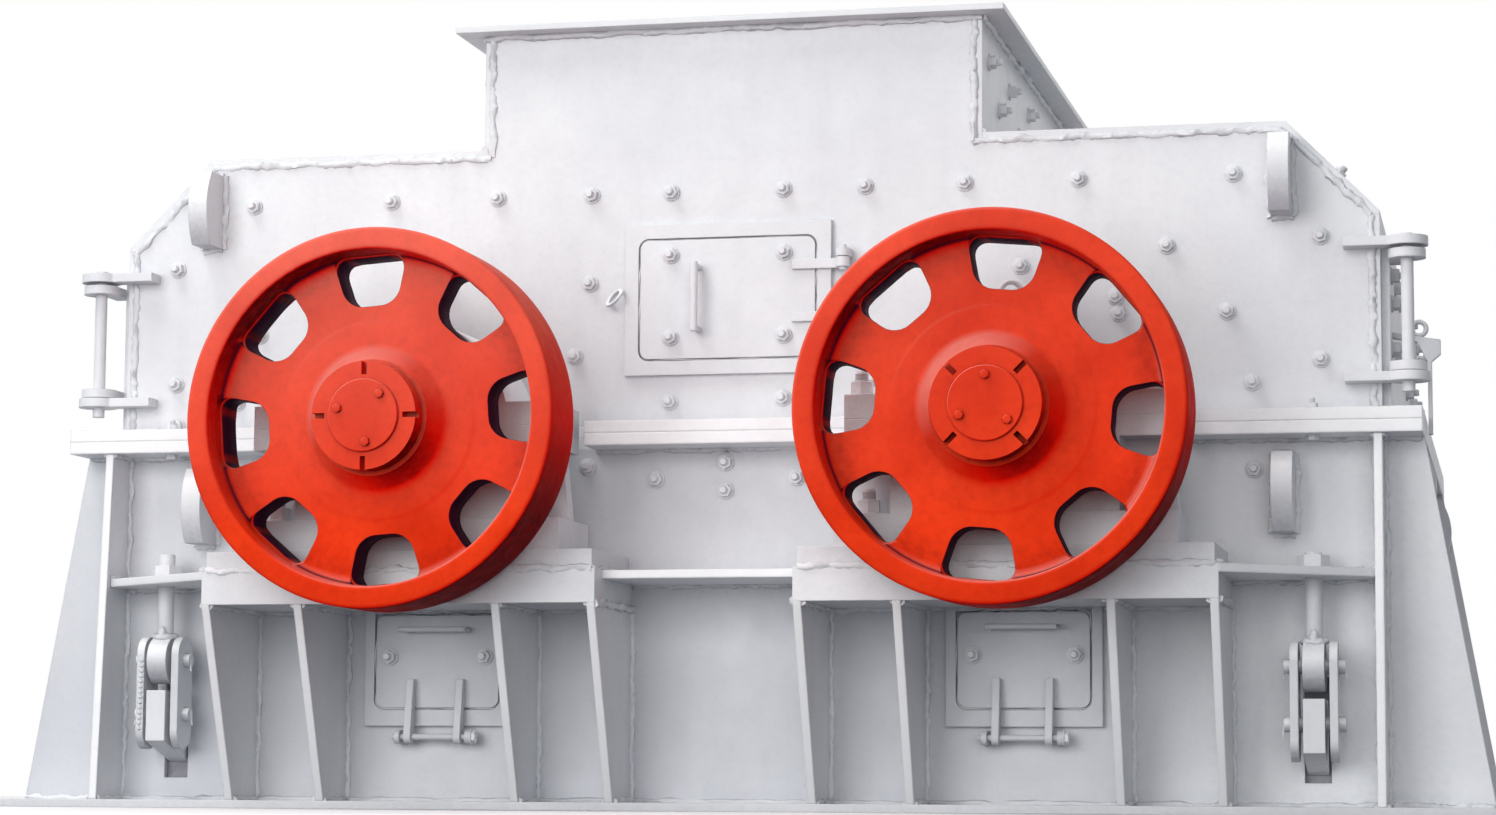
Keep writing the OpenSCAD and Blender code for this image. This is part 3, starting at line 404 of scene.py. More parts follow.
# Wheel red: near-black painted shade in the rims and recesses and on faces that look away from the upper
# left, painted highlight on faces that look up and left and high on the wheels
wheelRed = {"dark": (0.75, 0.034, 0.007, 1), "light": (0.90, 0.052, 0.011, 1), "patches": 5.0,
            "fleck": (0.52, 0.020, 0.005, 1), "specks": 48.0, "mottle": 0.24, "streaks": 0.08,
            "grimeAndShade": (0.05, 0.001, 0.003, 1), "cornerShade": 0.97, "reach": 0.10, "edge": 0.005,
            "wearAndGlintTone": (0.92, 0.13, 0.06, 1), "wearAndGlint": 0.5, "rough": (0.44, 0.60), "gloss": 0.01,
            "sheen": (1.0, 0.45, 0.35, 1), "shut": (0.92, 0.35),
            "upper": ((0.86, 0.25, 0.20, 1), 0.85, 0.15, 0.75), "paintedLightFrom": (-0.6, 0.0, 0.8),
            "side": ((0.86, 0.006, 0.002, 1), 0.95, -0.10, -0.60),
            "under": ((0.10, 0.001, 0.004, 1), 0.94, -0.62, -0.93),
            "paintedLightByPlace": ((0.90, 0.50, 0.42, 1), (0.65, 1.36, 0.0, 0.22), (-0.90, 0.90, 1.0, 0.25)),
            "bumps": ((14.0, 0.0026), (120.0, 0.0008))}
# Wheels: near-black painted shade on the walls of the windows
wheelPaint = surfaceFinish("wheelPaint", dict(
    wheelRed, reveal=((0.032, 0.006, 0.026, 1), (0.245, 0.255), (0.3945, 0.3915))))
# Lock nuts and end caps: the wheel red with its painted light and painted shade, and strong painted shade in
# their corners
capPaint = surfaceFinish("capPaint", dict(
    wheelRed, reach=0.03, edge=0.002, cornerShade=0.8, bumps=((40.0, 0.0008), (200.0, 0.0004))))
bareSteel = surfaceFinish("bareSteel", {
    "dark": (0.36, 0.37, 0.39, 1), "light": (0.50, 0.51, 0.53, 1), "patches": 9.0,
    "fleck": (0.24, 0.22, 0.21, 1), "specks": 120.0, "mottle": 0.5, "streaks": 0.1,
    "grimeAndShade": (0.10, 0.09, 0.08, 1), "cornerShade": 0.7, "reach": 0.03, "edge": 0.0012,
    "wearAndGlintTone": (0.7, 0.7, 0.72, 1), "wearAndGlint": 0.6, "rough": (0.26, 0.46), "metal": 0.9,
    "bumps": ((240.0, 0.0003),)})
darkCasting = surfaceFinish("darkCasting", {
    "dark": (0.075, 0.070, 0.066, 1), "light": (0.16, 0.15, 0.14, 1), "patches": 8.0,
    "fleck": (0.22, 0.13, 0.08, 1), "specks": 60.0, "mottle": 0.4, "streaks": 0.1,
    "grimeAndShade": (0.03, 0.028, 0.025, 1), "cornerShade": 0.8, "reach": 0.08, "edge": 0.004,
    "wearAndGlintTone": (0.42, 0.42, 0.42, 1), "wearAndGlint": 0.9, "rough": (0.40, 0.65), "metal": 0.55,
    "bumps": ((22.0, 0.0025), (150.0, 0.0010))})
print("finishes made")

# Camera, lamps, surroundings and floor
camera = {"lens": 82.31, "sensor": 36.0, "farthest": 100.0, "place": (1.9185, -8.9548, 0.0461),
          "turn": 12.930, "tilt": 96.420, "roll": 0.340}
view = bpy.data.objects.new("camera", bpy.data.cameras.new("camera"))
bpy.context.collection.objects.link(view)
view.data.lens, view.data.sensor_width = camera["lens"], camera["sensor"]
view.data.clip_end = camera["farthest"]
view.matrix_world = (Matrix.Translation(camera["place"]) @ turnOf(camera["turn"], "Z")
                     @ turnOf(camera["tilt"], "X") @ turnOf(camera["roll"], "Z"))
bpy.context.scene.camera = view
bpy.context.scene.view_settings.view_transform = "Standard"

# lamps are turn from the front and rise over the floor in degrees, and watts
light = {"aim": (0.0, -0.4, 0.9), "away": 9.0, "size": 5.0, "fill": 0.222, "floor": 0.22,
         "shade": (0.88, 0.90, 1.0, 1), "fade": (4.0, 12.0), "floorRadius": 60.0,
         "patches": 0.8, "patchy": (0.3, 0.7, 0.97, 1.0),
         "lamps": (("skyLamp", -50.0, 60.0, 400.0), ("frontLamp", -20.0, 8.0, 395.0),
                   ("sideLamp", 15.0, 8.0, 185.0), ("rearLampRight", 140.0, 35.0, 170.0),
                   ("rearLampLeft", 220.0, 35.0, 290.0))}
clearPick()
for name, turn, rise, power in light["lamps"]:
    bpy.ops.object.light_add(type="AREA")
    lamp = bpy.context.object
    lamp.name = name
    lamp.data.shape, lamp.data.size, lamp.data.energy = "SQUARE", light["size"], power
    turn, rise = math.radians(turn), math.radians(rise)
    back = Vector((math.cos(rise) * math.sin(turn), -math.cos(rise) * math.cos(turn), math.sin(rise)))
    lamp.matrix_world = (Matrix.Translation(Vector(light["aim"]) + light["away"] * back)
                         @ back.to_track_quat("Z", "Y").to_matrix().to_4x4())


# 1 for what the camera, a reflection or glass sees, 0 for the light that falls on the machine
def seenRays(tree):
    rays = addNode(tree, "LightPath").outputs
    seen = mathOf(tree, "MAXIMUM", rays["Is Camera Ray"], rays["Is Glossy Ray"])
    return mathOf(tree, "MAXIMUM", seen, rays["Is Transmission Ray"])


white = (1.0, 1.0, 1.0, 1.0)
world = bpy.data.worlds.new("surroundings")
bpy.context.scene.world = world
world.use_nodes = True
tree = world.node_tree
background = tree.nodes["Background"].inputs
tree.links.new(mixOf(tree, seenRays(tree), light["shade"], white), background["Color"])
tree.links.new(levelOf(tree, seenRays(tree), 0.0, 1.0, light["fill"], 1.0), background["Strength"])

floorFinish = bpy.data.materials.new("paleFloor")
floorFinish.use_nodes = True
tree = floorFinish.node_tree
tree.nodes.remove(tree.nodes["Principled BSDF"])
place = addNode(tree, "TexCoord").outputs["Object"]
patchy = levelOf(tree, noiseOf(tree, place, light["patches"]), *light["patchy"])
tone = timesOf(tree, levelOf(tree, seenRays(tree), 0.0, 1.0, light["floor"], 1.0), patchy)
tint = mixOf(tree, seenRays(tree), light["shade"], white)
matt = addNode(tree, "BsdfDiffuse", {"Color": mixOf(tree, 1.0, tint, tone, "MULTIPLY")}).outputs["BSDF"]
glow = addNode(tree, "Emission", {"Color": white, "Strength": 1.0}).outputs["Emission"]
far = levelOf(tree, vectorOf(tree, "LENGTH", place)["Value"], *light["fade"])
shown = addNode(tree, "MixShader", {0: timesOf(tree, far, seenRays(tree)), 1: matt, 2: glow})
tree.links.new(shown.outputs["Shader"], tree.nodes["Material Output"].inputs["Surface"])
clearPick()
bpy.ops.mesh.primitive_circle_add(vertices=96, radius=light["floorRadius"], fill_type="NGON")
floor = bpy.context.object
floor.name = "floor"
floor.data.materials.append(floorFinish)
print("camera, light and floor placed")

# The solids keep their shape and take these finishes
finishOf = (
    (wallPaint, ("lower_wall_front", "lower_wall_back", "hatch_frames", "hatch_left", "hatch_right")),
    (edgePaint, ("upper_flange", "lower_flange", "ribs_front", "ribs_back", "shelves")),
    (castPaint, ("bearings_front", "bearings_back", "bearing_caps_front", "bearing_caps_back",
                 "lifting_lugs", "grate_hangers_left", "grate_hangers_right", "adjusting_nuts")),
    (capPaint, ("lock_nuts_left", "lock_nuts_right")),
    (bareSteel, ("shaft_left", "shaft_right")),
    (darkCasting, ("discs_left", "discs_right", "hammers_left", "hammers_right")))
for node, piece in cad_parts.items():
    chosen = [finish for finish, nodes in finishOf if node in nodes] + [housingPaint]
    for slot in piece.material_slots:
        slot.material = chosen[0]
print("solids finished")

# Cast flywheels, which stand for the plain turned ones
wheel = {"front": 0.576, "steps": 144, "windows": 8, "turns": {-1: 4.0, 1: -5.0}, "windowMiddle": 0.331,
         "windowLength": 0.117, "outerWidth": 0.184, "innerWidth": 0.122, "cornerRound": 0.039,
         "lip": 0.004, "webFront": -0.078, "webBack": -0.170, "under": 0.010, "over": 0.030}
# half section from the bore round the front, out over the rim and back; height 0 is the rim's front face
wheelSection = [
    (0.0803, -0.026), (0.135, -0.026), (0.1382, -0.0272), (0.1396, -0.03), (0.1425, -0.036),
    (0.164, -0.065), (0.168, -0.07), (0.1735, -0.0742), (0.183, -0.0768), (0.195, -0.0776), (0.23, -0.0776),
    (0.235, -0.0784), (0.24, -0.0802), (0.248, -0.0808), (0.3, -0.0808), (0.36, -0.0806), (0.372, -0.0796),
    (0.381, -0.0768), (0.388, -0.0715), (0.392, -0.064), (0.3938, -0.054), (0.396, -0.03), (0.3982, -0.006),
    (0.3995, -0.0022), (0.403, 0.0), (0.41, 0.0), (0.44, 0.0), (0.4465, -0.0012), (0.4492, -0.004),
    (0.45, -0.008), (0.45, -0.04), (0.45, -0.15), (0.45, -0.186), (0.449, -0.1905), (0.4455, -0.193),
    (0.406, -0.193), (0.4, -0.1905), (0.3975, -0.185), (0.395, -0.179), (0.389, -0.173), (0.378, -0.1702),
    (0.3, -0.17), (0.175, -0.17), (0.16, -0.173), (0.152, -0.18), (0.15, -0.19), (0.1497, -0.22),
    (0.147, -0.224), (0.0803, -0.224)]


# Block that cuts one window: narrower towards the hub, wider in steps at both faces of the web
def windowTool():
    bpy.ops.mesh.primitive_plane_add(size=1.0, location=(0, 0, 0))
    tool = bpy.context.object
    lip, wide, tall = wheel["lip"], wheel["outerWidth"], wheel["windowLength"]
    editPiece(tool, whole=True)
    bpy.ops.transform.resize(value=(wide, tall, 1))
    doneEditing()
    pickEdges(tool, lambda a, b: a.y < 0 and b.y < 0)
    bpy.ops.transform.resize(value=(wheel["innerWidth"] / wide, 1, 1), center_override=(0, 0, 0))
    pickAll()
    bpy.ops.mesh.bevel(offset=wheel["cornerRound"], segments=6, affect="VERTICES")
    pickAll()
    bpy.ops.transform.translate(value=(0, 0, wheel["webBack"] - wheel["under"]))
    bpy.ops.transform.resize(value=(1 + 2 * lip / wide, 1 + 2 * lip / tall, 1),
                             center_override=(0, 0, 0))
    straight = wheel["webFront"] - wheel["webBack"] - 2 * lip
    stages = [(wheel["under"], 1.0), (0.4 * lip, 1 - 1.2 * lip / wide), (0.6 * lip, 1 - 0.8 * lip / wide),
              (straight, 1.0), (0.6 * lip, 1 + 0.8 * lip / wide), (0.5 * lip, 1 + 1.3 * lip / wide),
              (wheel["over"], 1.03)]
    for rise, spread in stages:
        bpy.ops.mesh.extrude_region_move(TRANSFORM_OT_translate={"value": (0, 0, rise)})
        bpy.ops.transform.resize(value=(spread, 1 + (spread - 1) * wide / tall, 1),
                                 center_override=(0, 0, 0))
    pickAll()
    bpy.ops.mesh.normals_make_consistent(inside=False)
    bpy.ops.transform.translate(value=(0, wheel["windowMiddle"], 0))
    doneEditing()
    return tool


def castWheel(turn):
    piece = turnedPart(wheelSection + [wheelSection[0]], wheel["steps"])
    tool = windowTool()
    copies = []
    for number in range(wheel["windows"]):
        angle = math.radians(turn) + number * 2 * math.pi / wheel["windows"]
        copies.append(copyOf(tool, (0, 0, 0), Matrix.Rotation(angle, 4, "Z")))
    putAway(tool)
    cutWith(piece, joined(copies))
    return piece


for side, sideName in sideNames:
    for way, end in wayNames:
        pattern = placed(castWheel(-way * wheel["turns"][side]),
                         (side * shaftX, way * (wallY + wheel["front"]), shaftZ), toWall[way])
        piece = finished("cast_wheel_" + sideName + "_" + end, [pattern], "rotor_" + sideName, wheelPaint,
                         40)
        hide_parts("flywheel_" + sideName + "_" + end)
print("flywheels cast")

# Fasteners, each modelled once with its seat at height 0 and its free end up
linerBolt = {"washer": 0.0215, "washerHigh": 0.0045, "across": 0.030, "nutHigh": 0.016, "stub": 0.0095,
             "stubHigh": 0.014, "thread": 0.0025}
flangeBolt = {"washer": 0.017, "washerHigh": 0.003, "across": 0.024, "nutHigh": 0.012, "headHigh": 0.010,
              "stub": 0.0075, "stubHigh": 0.014, "thread": 0.002}
capStudSize = {"washer": 0.032, "washerHigh": 0.006, "across": 0.050, "nutHigh": 0.030, "stub": 0.017,
               "stubHigh": 0.026, "thread": 0.0035}


# Hexagon with its upper corners taken off by a cone
def hexBody(across, height, seat):
    clearPick()
    bpy.ops.mesh.primitive_cylinder_add(vertices=6, radius=across / 2 / math.cos(math.pi / 6), depth=height,
                                        location=(0, 0, seat + height / 2))
    body = bpy.context.object
    bpy.ops.object.transform_apply(location=True)
    flat, below, fall = across / 2 * 0.94, 0.01, 1.8
    cone = turnedPart([(0, seat - below), (flat + (height + below) * fall, seat - below),
                       (flat, seat + height), (0, seat + height)], 24)
    cutWith(body, cone, "INTERSECT")
    return body


def threadedEnd(radius, start, height, pitch):
    turns = max(1, int(height / pitch) - 1)
    root = radius * 0.9
    section = [(0, start)]
    for number in range(turns):
        z = start + number * pitch
        section += [(root, z), (radius, z + pitch / 2)]
    section += [(root, start + turns * pitch), (radius * 0.8, start + height), (0, start + height * 1.02)]
    return turnedPart(section, 12)


def washerDisc(size):
    radius, thick = size["washer"], size["washerHigh"]
    return turnedPart([(0, 0), (radius, 0), (radius, thick * 0.7), (radius - 0.001, thick), (0, thick)], 20)


def nutAndStud(size):
    seat = size["washerHigh"]
    top = seat + size["nutHigh"]
    return joined([hexBody(size["across"], size["nutHigh"], seat), washerDisc(size),
                   threadedEnd(size["stub"], top - 0.001, size["stubHigh"], size["thread"])])


def hexHead(size):
    parts = [hexBody(size["across"], size["headHigh"], size.get("washerHigh", 0.0))]
    if "washer" in size:
        parts.append(washerDisc(size))
    return joined(parts)


# Copies of one pattern at many places, each turned a little further about its own axis
def setOf(name, pattern, places, turn, body="housing", finish=boltPaint):
    copies = []
    for number, where in enumerate(places):
        copies.append(copyOf(pattern, where, turn @ turnOf(number * 37 % 60, "Z")))
    return finished(name, copies, body, finish)


# The same liner bolts on the right and, mirrored, on the left of the machine
def bothEnds(name, places, turns, bodies=("housing", "housing")):
    setOf(name + "_right", liner, places, turns[0], bodies[0])
    setOf(name + "_left", liner, [(-x, y, z) for x, y, z in places], turns[1], bodies[1])


liner = nutAndStud(linerBolt)
# liner bolts of the upper housing, (x, z) on the wall
upperBolts = [(-1.246, 1.526), (-0.877, 1.526), (-0.597, 1.526), (-0.352, 1.526), (-0.147, 1.526),
              (0.138, 1.526), (0.343, 1.526), (0.590, 1.526), (0.868, 1.526), (1.240, 1.526),
              (-1.450, 1.369), (1.444, 1.368), (-0.354, 1.303), (0.354, 1.303), (-1.080, 1.356),
              (1.080, 1.356), (-0.727, 1.317), (0.727, 1.317), (0.957, 1.236), (-0.957, 1.236),
              (0.964, 1.195), (1.223, 1.193), (-1.223, 1.193), (-0.391, 1.121), (0.391, 1.121),
              (-0.147, 1.003), (0.138, 1.008), (-1.281, 1.022), (1.281, 1.022), (-1.448, 1.072),
              (1.442, 1.074), (-1.443, 0.965)]
lowerBolts = [(-0.355, 0.845), (-0.179, 0.811), (-0.004, 0.850), (-0.004, 0.781), (0.174, 0.811),
              (0.355, 0.845), (1.283, 0.814), (-1.283, 0.814)]
for way, end in wayNames:
    setOf("liner_bolts_" + end, liner, [(x, way * wallY, z) for x, z in upperBolts + lowerBolts], toWall[way])
hopperRows = [(-0.715, 1.845), (-0.374, 1.840), (-0.033, 1.845), (0.308, 1.840), (0.649, 1.845),
              (-0.548, 1.757), (-0.207, 1.757), (0.134, 1.757), (0.475, 1.757)]
bothEnds("hopper_bolts", [(hopperX, y, z) for y, z in hopperRows], (toRight, toLeft))

# the slope plates between the roof and the end walls, as wide and tall as they look from the front
slope = {"wide": 0.219, "tall": 0.224, "boltsY": (-0.66, -0.33, 0.0, 0.33, 0.66)}
slopeTopX, slopeFootZ = endX - slope["wide"], roofZ - slope["tall"]
slopeTurn = 90 - math.degrees(math.atan2(slope["tall"], slope["wide"]))
slopeBolts = [((endX + slopeTopX) / 2, y, (roofZ + slopeFootZ) / 2) for y in slope["boltsY"]]
bothEnds("slope_bolts", slopeBolts, (turnOf(slopeTurn, "Y"), turnOf(-slopeTurn, "Y")))
setOf("roof_bolts", liner, [(side * x, y, roofZ) for x in (0.80, 1.20) for y in (-0.62, -0.21, 0.21, 0.62)
                            for side in sides], toTop)

# bolts of the inspection door about its middle, of the hatches about the shafts, and of the end doors
panelThick = 0.015
panelFace = -wallY - panelThick
setOf("door_bolts", liner, [(x, panelFace, doorZ + z) for x in (-0.143, 0.143) for z in (-0.095, 0.110)],
      toFront, "inspection_door")
for side, sideName in sideNames:
    setOf("hatch_bolts_" + sideName, liner, [(side * shaftX + x, panelFace, 0.376) for x in (-0.123, 0.123)],
          toFront, "hatch_" + sideName)
endBolts = [(y, z) for z in (1.108, 1.286) for y in (-0.49, -0.21, 0.21, 0.49)]
endBolts += [(y, z) for z in (1.108, 1.219, 1.286) for y in (-0.70, 0.70)]
bothEnds("end_door_bolts", [(endX + plate, y, z) for y, z in endBolts], (toRight, toLeft),
         ("end_door_right", "end_door_left"))

# bolts of the split flange, past the long walls and past the end walls
flange = {"wallOut": 0.075, "endOut": 0.060, "wallX": 1.425, "endY": (-0.55, -0.28, 0.0, 0.28, 0.55)}
flangeY = wallY + flange["wallOut"]
flangePlaces = [(side * flange["wallX"], way * flangeY) for way in sides for side in sides]
flangePlaces += [(side * (endX + flange["endOut"]), y) for side in sides for y in flange["endY"]]
flangeNut, flangeHead = nutAndStud(flangeBolt), hexHead(flangeBolt)
setOf("flange_nuts", flangeNut, [(x, y, splitHigh) for x, y in flangePlaces], toTop)
setOf("flange_heads", flangeHead, [(x, y, splitLow) for x, y in flangePlaces], toGround)

# Bearings: cover rings on both faces, cap studs, hold-down nuts and a lifting eye on each cap
bearing = {"back": 0.082, "deep": 0.240, "ringOut": 0.205, "ringIn": 0.090, "ringHigh": 0.016, "neck": 0.122,
           "neckHigh": 0.024, "edge": 0.004, "ringBolts": 8, "ringPitch": 0.176, "studX": 0.346,
           "studIn": 0.058, "capTop": 0.058, "footX": 0.326, "footIn": 0.046, "footTop": 0.693,
           "eyeUp": 0.268, "eye": (0.024, 0.0065, 0.016)}
sunk = 0.0005                                     # how far small heads and nuts sit in what they hold
ringBolt = hexHead({"washer": 0.016, "washerHigh": 0.003, "across": 0.024, "headHigh": 0.011})
capStud = nutAndStud(capStudSize)


def coverRing():
    inner, outer, neck = bearing["ringIn"], bearing["ringOut"], bearing["neck"]
    tall, top, edge = bearing["ringHigh"], bearing["neckHigh"], bearing["edge"]
    section = [(inner, 0), (outer, 0), (outer, tall - edge), (outer - edge, tall), (neck + 4 * edge, tall),
               (neck + 1.5 * edge, tall + edge / 2), (neck, top - 0.75 * edge), (neck - 0.75 * edge, top),
               (inner, top), (inner, 0)]
    parts = [turnedPart(section, 64)]
    pitch, count = bearing["ringPitch"], bearing["ringBolts"]
    for number in range(count):
        angle = (number + 0.5) * 2 * math.pi / count
        where = (pitch * math.cos(angle), pitch * math.sin(angle), tall - sunk)
        parts.append(copyOf(ringBolt, where, Matrix.Rotation(number * 0.7, 4, "Z")))
    return joined(parts)


# An eye bolt: a ring on a short neck over a collar
def eyeBolt(ringRadius, wire, neckHigh):
    clearPick()
    bpy.ops.mesh.primitive_torus_add(major_segments=28, minor_segments=10, major_radius=ringRadius,
                                     minor_radius=wire, rotation=(math.pi / 2, 0, 0),
                                     location=(0, 0, neckHigh + ringRadius))
    loop = bpy.context.object
    neck = turnedPart([(0, 0), (wire * 2.4, 0), (wire * 2.4, neckHigh * 0.45),
                       (wire * 1.5, neckHigh * 0.7), (wire * 1.3, neckHigh + wire * 0.6),
                       (0, neckHigh + wire * 0.6)], 20)
    return joined([neck, loop])


ring = coverRing()
nearY, farY = wallY + bearing["back"], wallY + bearing["back"] + bearing["deep"]
for way, end in wayNames:
    rings = [copyOf(ring, (side * shaftX, way * farY, shaftZ), toWall[way]) for side in sides]
    rings += [copyOf(ring, (side * shaftX, way * nearY, shaftZ), toWall[-way]) for side in sides]
    finished("bearing_covers_" + end, rings, "housing", castPaint)
    studs = [(side * shaftX + x, way * y, shaftZ + bearing["capTop"]) for side in sides
             for x in (-bearing["studX"], bearing["studX"])
             for y in (nearY + bearing["studIn"], farY - bearing["studIn"])]
    setOf("cap_nuts_" + end, capStud, studs, toTop)
    nuts = [(side * shaftX + x, way * y, bearing["footTop"]) for side in sides
            for x in (-bearing["footX"], bearing["footX"])
            for y in (nearY + bearing["footIn"], farY - bearing["footIn"])]
    setOf("hold_down_nuts_" + end, capStud, nuts, toTop)
lifter = eyeBolt(*bearing["eye"])
setOf("cap_eye_bolts", lifter, [(side * shaftX, way * (nearY + farY) / 2, shaftZ + bearing["eyeUp"])
                                for side in sides for way in sides], toTop, finish=castPaint)
putAway(liner, flangeNut, flangeHead, ring, ringBolt, capStud, lifter)
print("bolts and bearing covers placed")

# Rotor end caps: a thin turned disc with three small hexagon bolts, as deep together as the solid cap
cap = {"pitch": 0.064, "across": 0.019, "headHigh": 0.009, "thick": 0.016, "edge": 0.002,
       "turns": {"left": (165, 50, 278), "right": (90, 205, 323)}}
capBolt = hexHead(cap)
capOut = (high("end_caps_left").x - low("end_caps_left").x) / 2
capTop = cap["thick"] - cap["headHigh"]
capDisc = turnedPart([(0, 0), (capOut, 0), (capOut, capTop - cap["edge"]),
                      (capOut - cap["edge"], capTop), (0, capTop), (0, 0)], 64)
for side, sideName in sideNames:
    face = -low("end_caps_" + sideName).y
    discs = []
    for way, end in wayNames:
        seat = way * (face - cap["headHigh"] - sunk)
        angles = [math.radians(turn) for turn in cap["turns"][sideName]]
        places = [(side * shaftX + cap["pitch"] * math.cos(angle), seat,
                   shaftZ + cap["pitch"] * math.sin(angle)) for angle in angles]
        setOf("cap_bolts_" + sideName + "_" + end, capBolt, places, toWall[way], "rotor_" + sideName,
              capPaint)
        discs.append(copyOf(capDisc, (side * shaftX, way * (face - cap["thick"]), shaftZ), toWall[way]))
    piece = finished("cap_discs_" + sideName, discs, "rotor_" + sideName, capPaint)
    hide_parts("end_caps_" + sideName)
putAway(capBolt, capDisc)
print("rotor ends finished")

# Weld beads: runs between two points, cut into short rings and made uneven
weld = {"ring": 0.0070, "lump": 0.0130, "grain": 0.015, "wander": 0.010, "sway": 0.040, "fillet": 0.0100,
        "seam": 0.0098, "sunk": 0.0025, "heavy": 1.25, "heavyGrain": 1.3}


def beadRun(start, end, radius):
    start, end = Vector(start), Vector(end)
    along = end - start
    clearPick()
    bpy.ops.mesh.primitive_cylinder_add(vertices=6, radius=radius, depth=along.length,
                                        location=(start + end) / 2,
                                        rotation=along.to_track_quat("Z", "Y").to_euler())
    bead = bpy.context.object
    pickEdges(bead, lambda a, b: abs(a.z - b.z) > 0.001)
    bpy.ops.mesh.subdivide(number_cuts=max(1, int(along.length / weld["ring"])))
    doneEditing()
    return bead


def beads(name, runs, radius, grain=1.0):
    made = [beadRun(start, end, radius) for start, end in runs]
    pick(*made)
    bpy.ops.object.transform_apply(location=True, rotation=True, scale=True)
    piece = joined(made)
    roughen(piece, weld["sway"], weld["wander"], 1, "COLOR", texture_coords="GLOBAL", direction="RGB_TO_XYZ")
    roughen(piece, weld["grain"] * grain, weld["lump"] * grain, texture_coords="GLOBAL")
    return finished(name, [piece], "housing", weldPaint, angle=70)


# How far the beads run, in metres: from the shafts, from the long walls, or from the middle of a seat
run = {"shaftClear": 0.400, "flangeOver": 0.090, "rimDown": 0.004, "frameUp": 0.004, "ribs": (0.248, 0.484),
       "foot": 0.160, "seat": 0.340, "seatSide": 0.485, "seatFrom": 0.012, "shelf": 0.108,
       "shelfFrom": 0.008, "baseEnd": 1.825}
lug = {"x": endX - 0.230, "heights": (1.513, 0.754), "tall": 0.094, "thick": 0.025, "endY": wallY - 0.090,
       "endZ": 0.776}                             # tall and thick are half sizes
cornerX = high("ribs_front").x - plate / 2
cornerIn, cornerOut = cornerX - plate / 2, cornerX + plate / 2
seatHalf = high("bearing_seats").x - shaftX
hopperIn = hopperX - plate
rimFoot = low("hopper_rim").z - run["rimDown"]
slopeLong = math.hypot(slope["wide"], slope["tall"])
innerEndZ = slopeFootZ + plate * (slope["tall"] - slopeLong) / slope["wide"]
innerRoofX = slopeTopX - plate * (slopeLong - slope["wide"]) / slope["tall"]


# Both sides of an upright rib: up the wall, out over the base, and out under what the rib carries
def ribRuns(x, way, top, start, end):
    wall, runs = way * wallY, []
    for across in (x - plate / 2, x + plate / 2):
        runs.append(((across, wall, baseTop), (across, wall, top)))
        runs.append(((across, wall, baseTop), (across, wall + way * run["foot"], baseTop)))
        runs.append(((across, wall + way * start, top), (across, wall + way * end, top)))
    return runs


for way, end in wayNames:
    wall, face = way * wallY, way * (wallY - weld["sunk"])
    seams = []
    for side in sides:
        corners = [(side * x, face, z) for x, z in (
            (endX - plate, splitHigh + run["frameUp"]), (endX - plate, innerEndZ),
            (innerRoofX, roofZ - plate), (hopperIn, roofZ - plate), (hopperIn, rimFoot))]
        seams += zip(corners, corners[1:])
    beads("seam_welds_" + end, seams, weld["seam"])
    fillets = [((-hopperX, wall, rimFoot), (hopperX, wall, rimFoot))]
    clear = run["shaftClear"]
    for z, reach in ((splitHigh, endX), (splitLow, endX + run["flangeOver"])):
        for x0, x1 in ((-reach, -shaftX - clear), (clear - shaftX, shaftX - clear), (shaftX + clear, reach)):
            fillets.append(((x0, wall, z), (x1, wall, z)))
    outerRib, innerRib = run["ribs"][1], run["ribs"][0]
    for side in sides:
        for x in (-outerRib, -innerRib, innerRib, outerRib):
            fillets += ribRuns(side * shaftX + x, way, seatLow, 0.0, run["seat"])
    for side in sides:
        middle, front = side * shaftX, wall + way * run["seat"]
        seatIn, seatOut = side * (shaftX - seatHalf), side * (shaftX + seatHalf)
        fillets += ribRuns(side * cornerX, way, splitLow, run["shelfFrom"], run["shelf"])
        fillets.append(((seatIn, wall, seatLow), (seatOut, wall, seatLow)))
        for z in (shelfTop, shelfLow):
            fillets.append(((seatOut, wall, z), (side * cornerIn, wall, z)))
        for x, reach in ((seatOut, run["seat"]), (side * cornerIn, run["shelf"])):
            fillets.append(((x, wall, shelfTop), (x, wall + way * reach, shelfTop)))
        fillets.append(((side * cornerOut, wall, baseTop), (side * run["baseEnd"], wall, baseTop)))
        fillets.append(((middle - run["seatSide"], front, seatZ), (middle + run["seatSide"], front, seatZ)))
        for x in (middle - run["seatSide"], middle + run["seatSide"]):
            fillets.append(((x, wall + way * run["seatFrom"], seatZ), (x, front, seatZ)))
    for reach, z in ((shaftX - seatHalf, shelfTop), (shaftX - seatHalf, shelfLow), (cornerIn, baseTop)):
        fillets.append(((-reach, wall, z), (reach, wall, z)))
    beads("fillet_welds_" + end, fillets, weld["fillet"])
    heavy = []
    for side in sides:
        for z in lug["heights"]:
            left, right = side * lug["x"] - lug["thick"], side * lug["x"] + lug["thick"]
            foot, top = z - lug["tall"], z + lug["tall"]
            heavy += [((x, wall, foot), (x, wall, top)) for x in (left, right)]
            heavy += [((left, wall, level), (right, wall, level)) for level in (foot, top)]
    beads("heavy_welds_" + end, heavy, weld["fillet"] * weld["heavy"], weld["heavyGrain"])

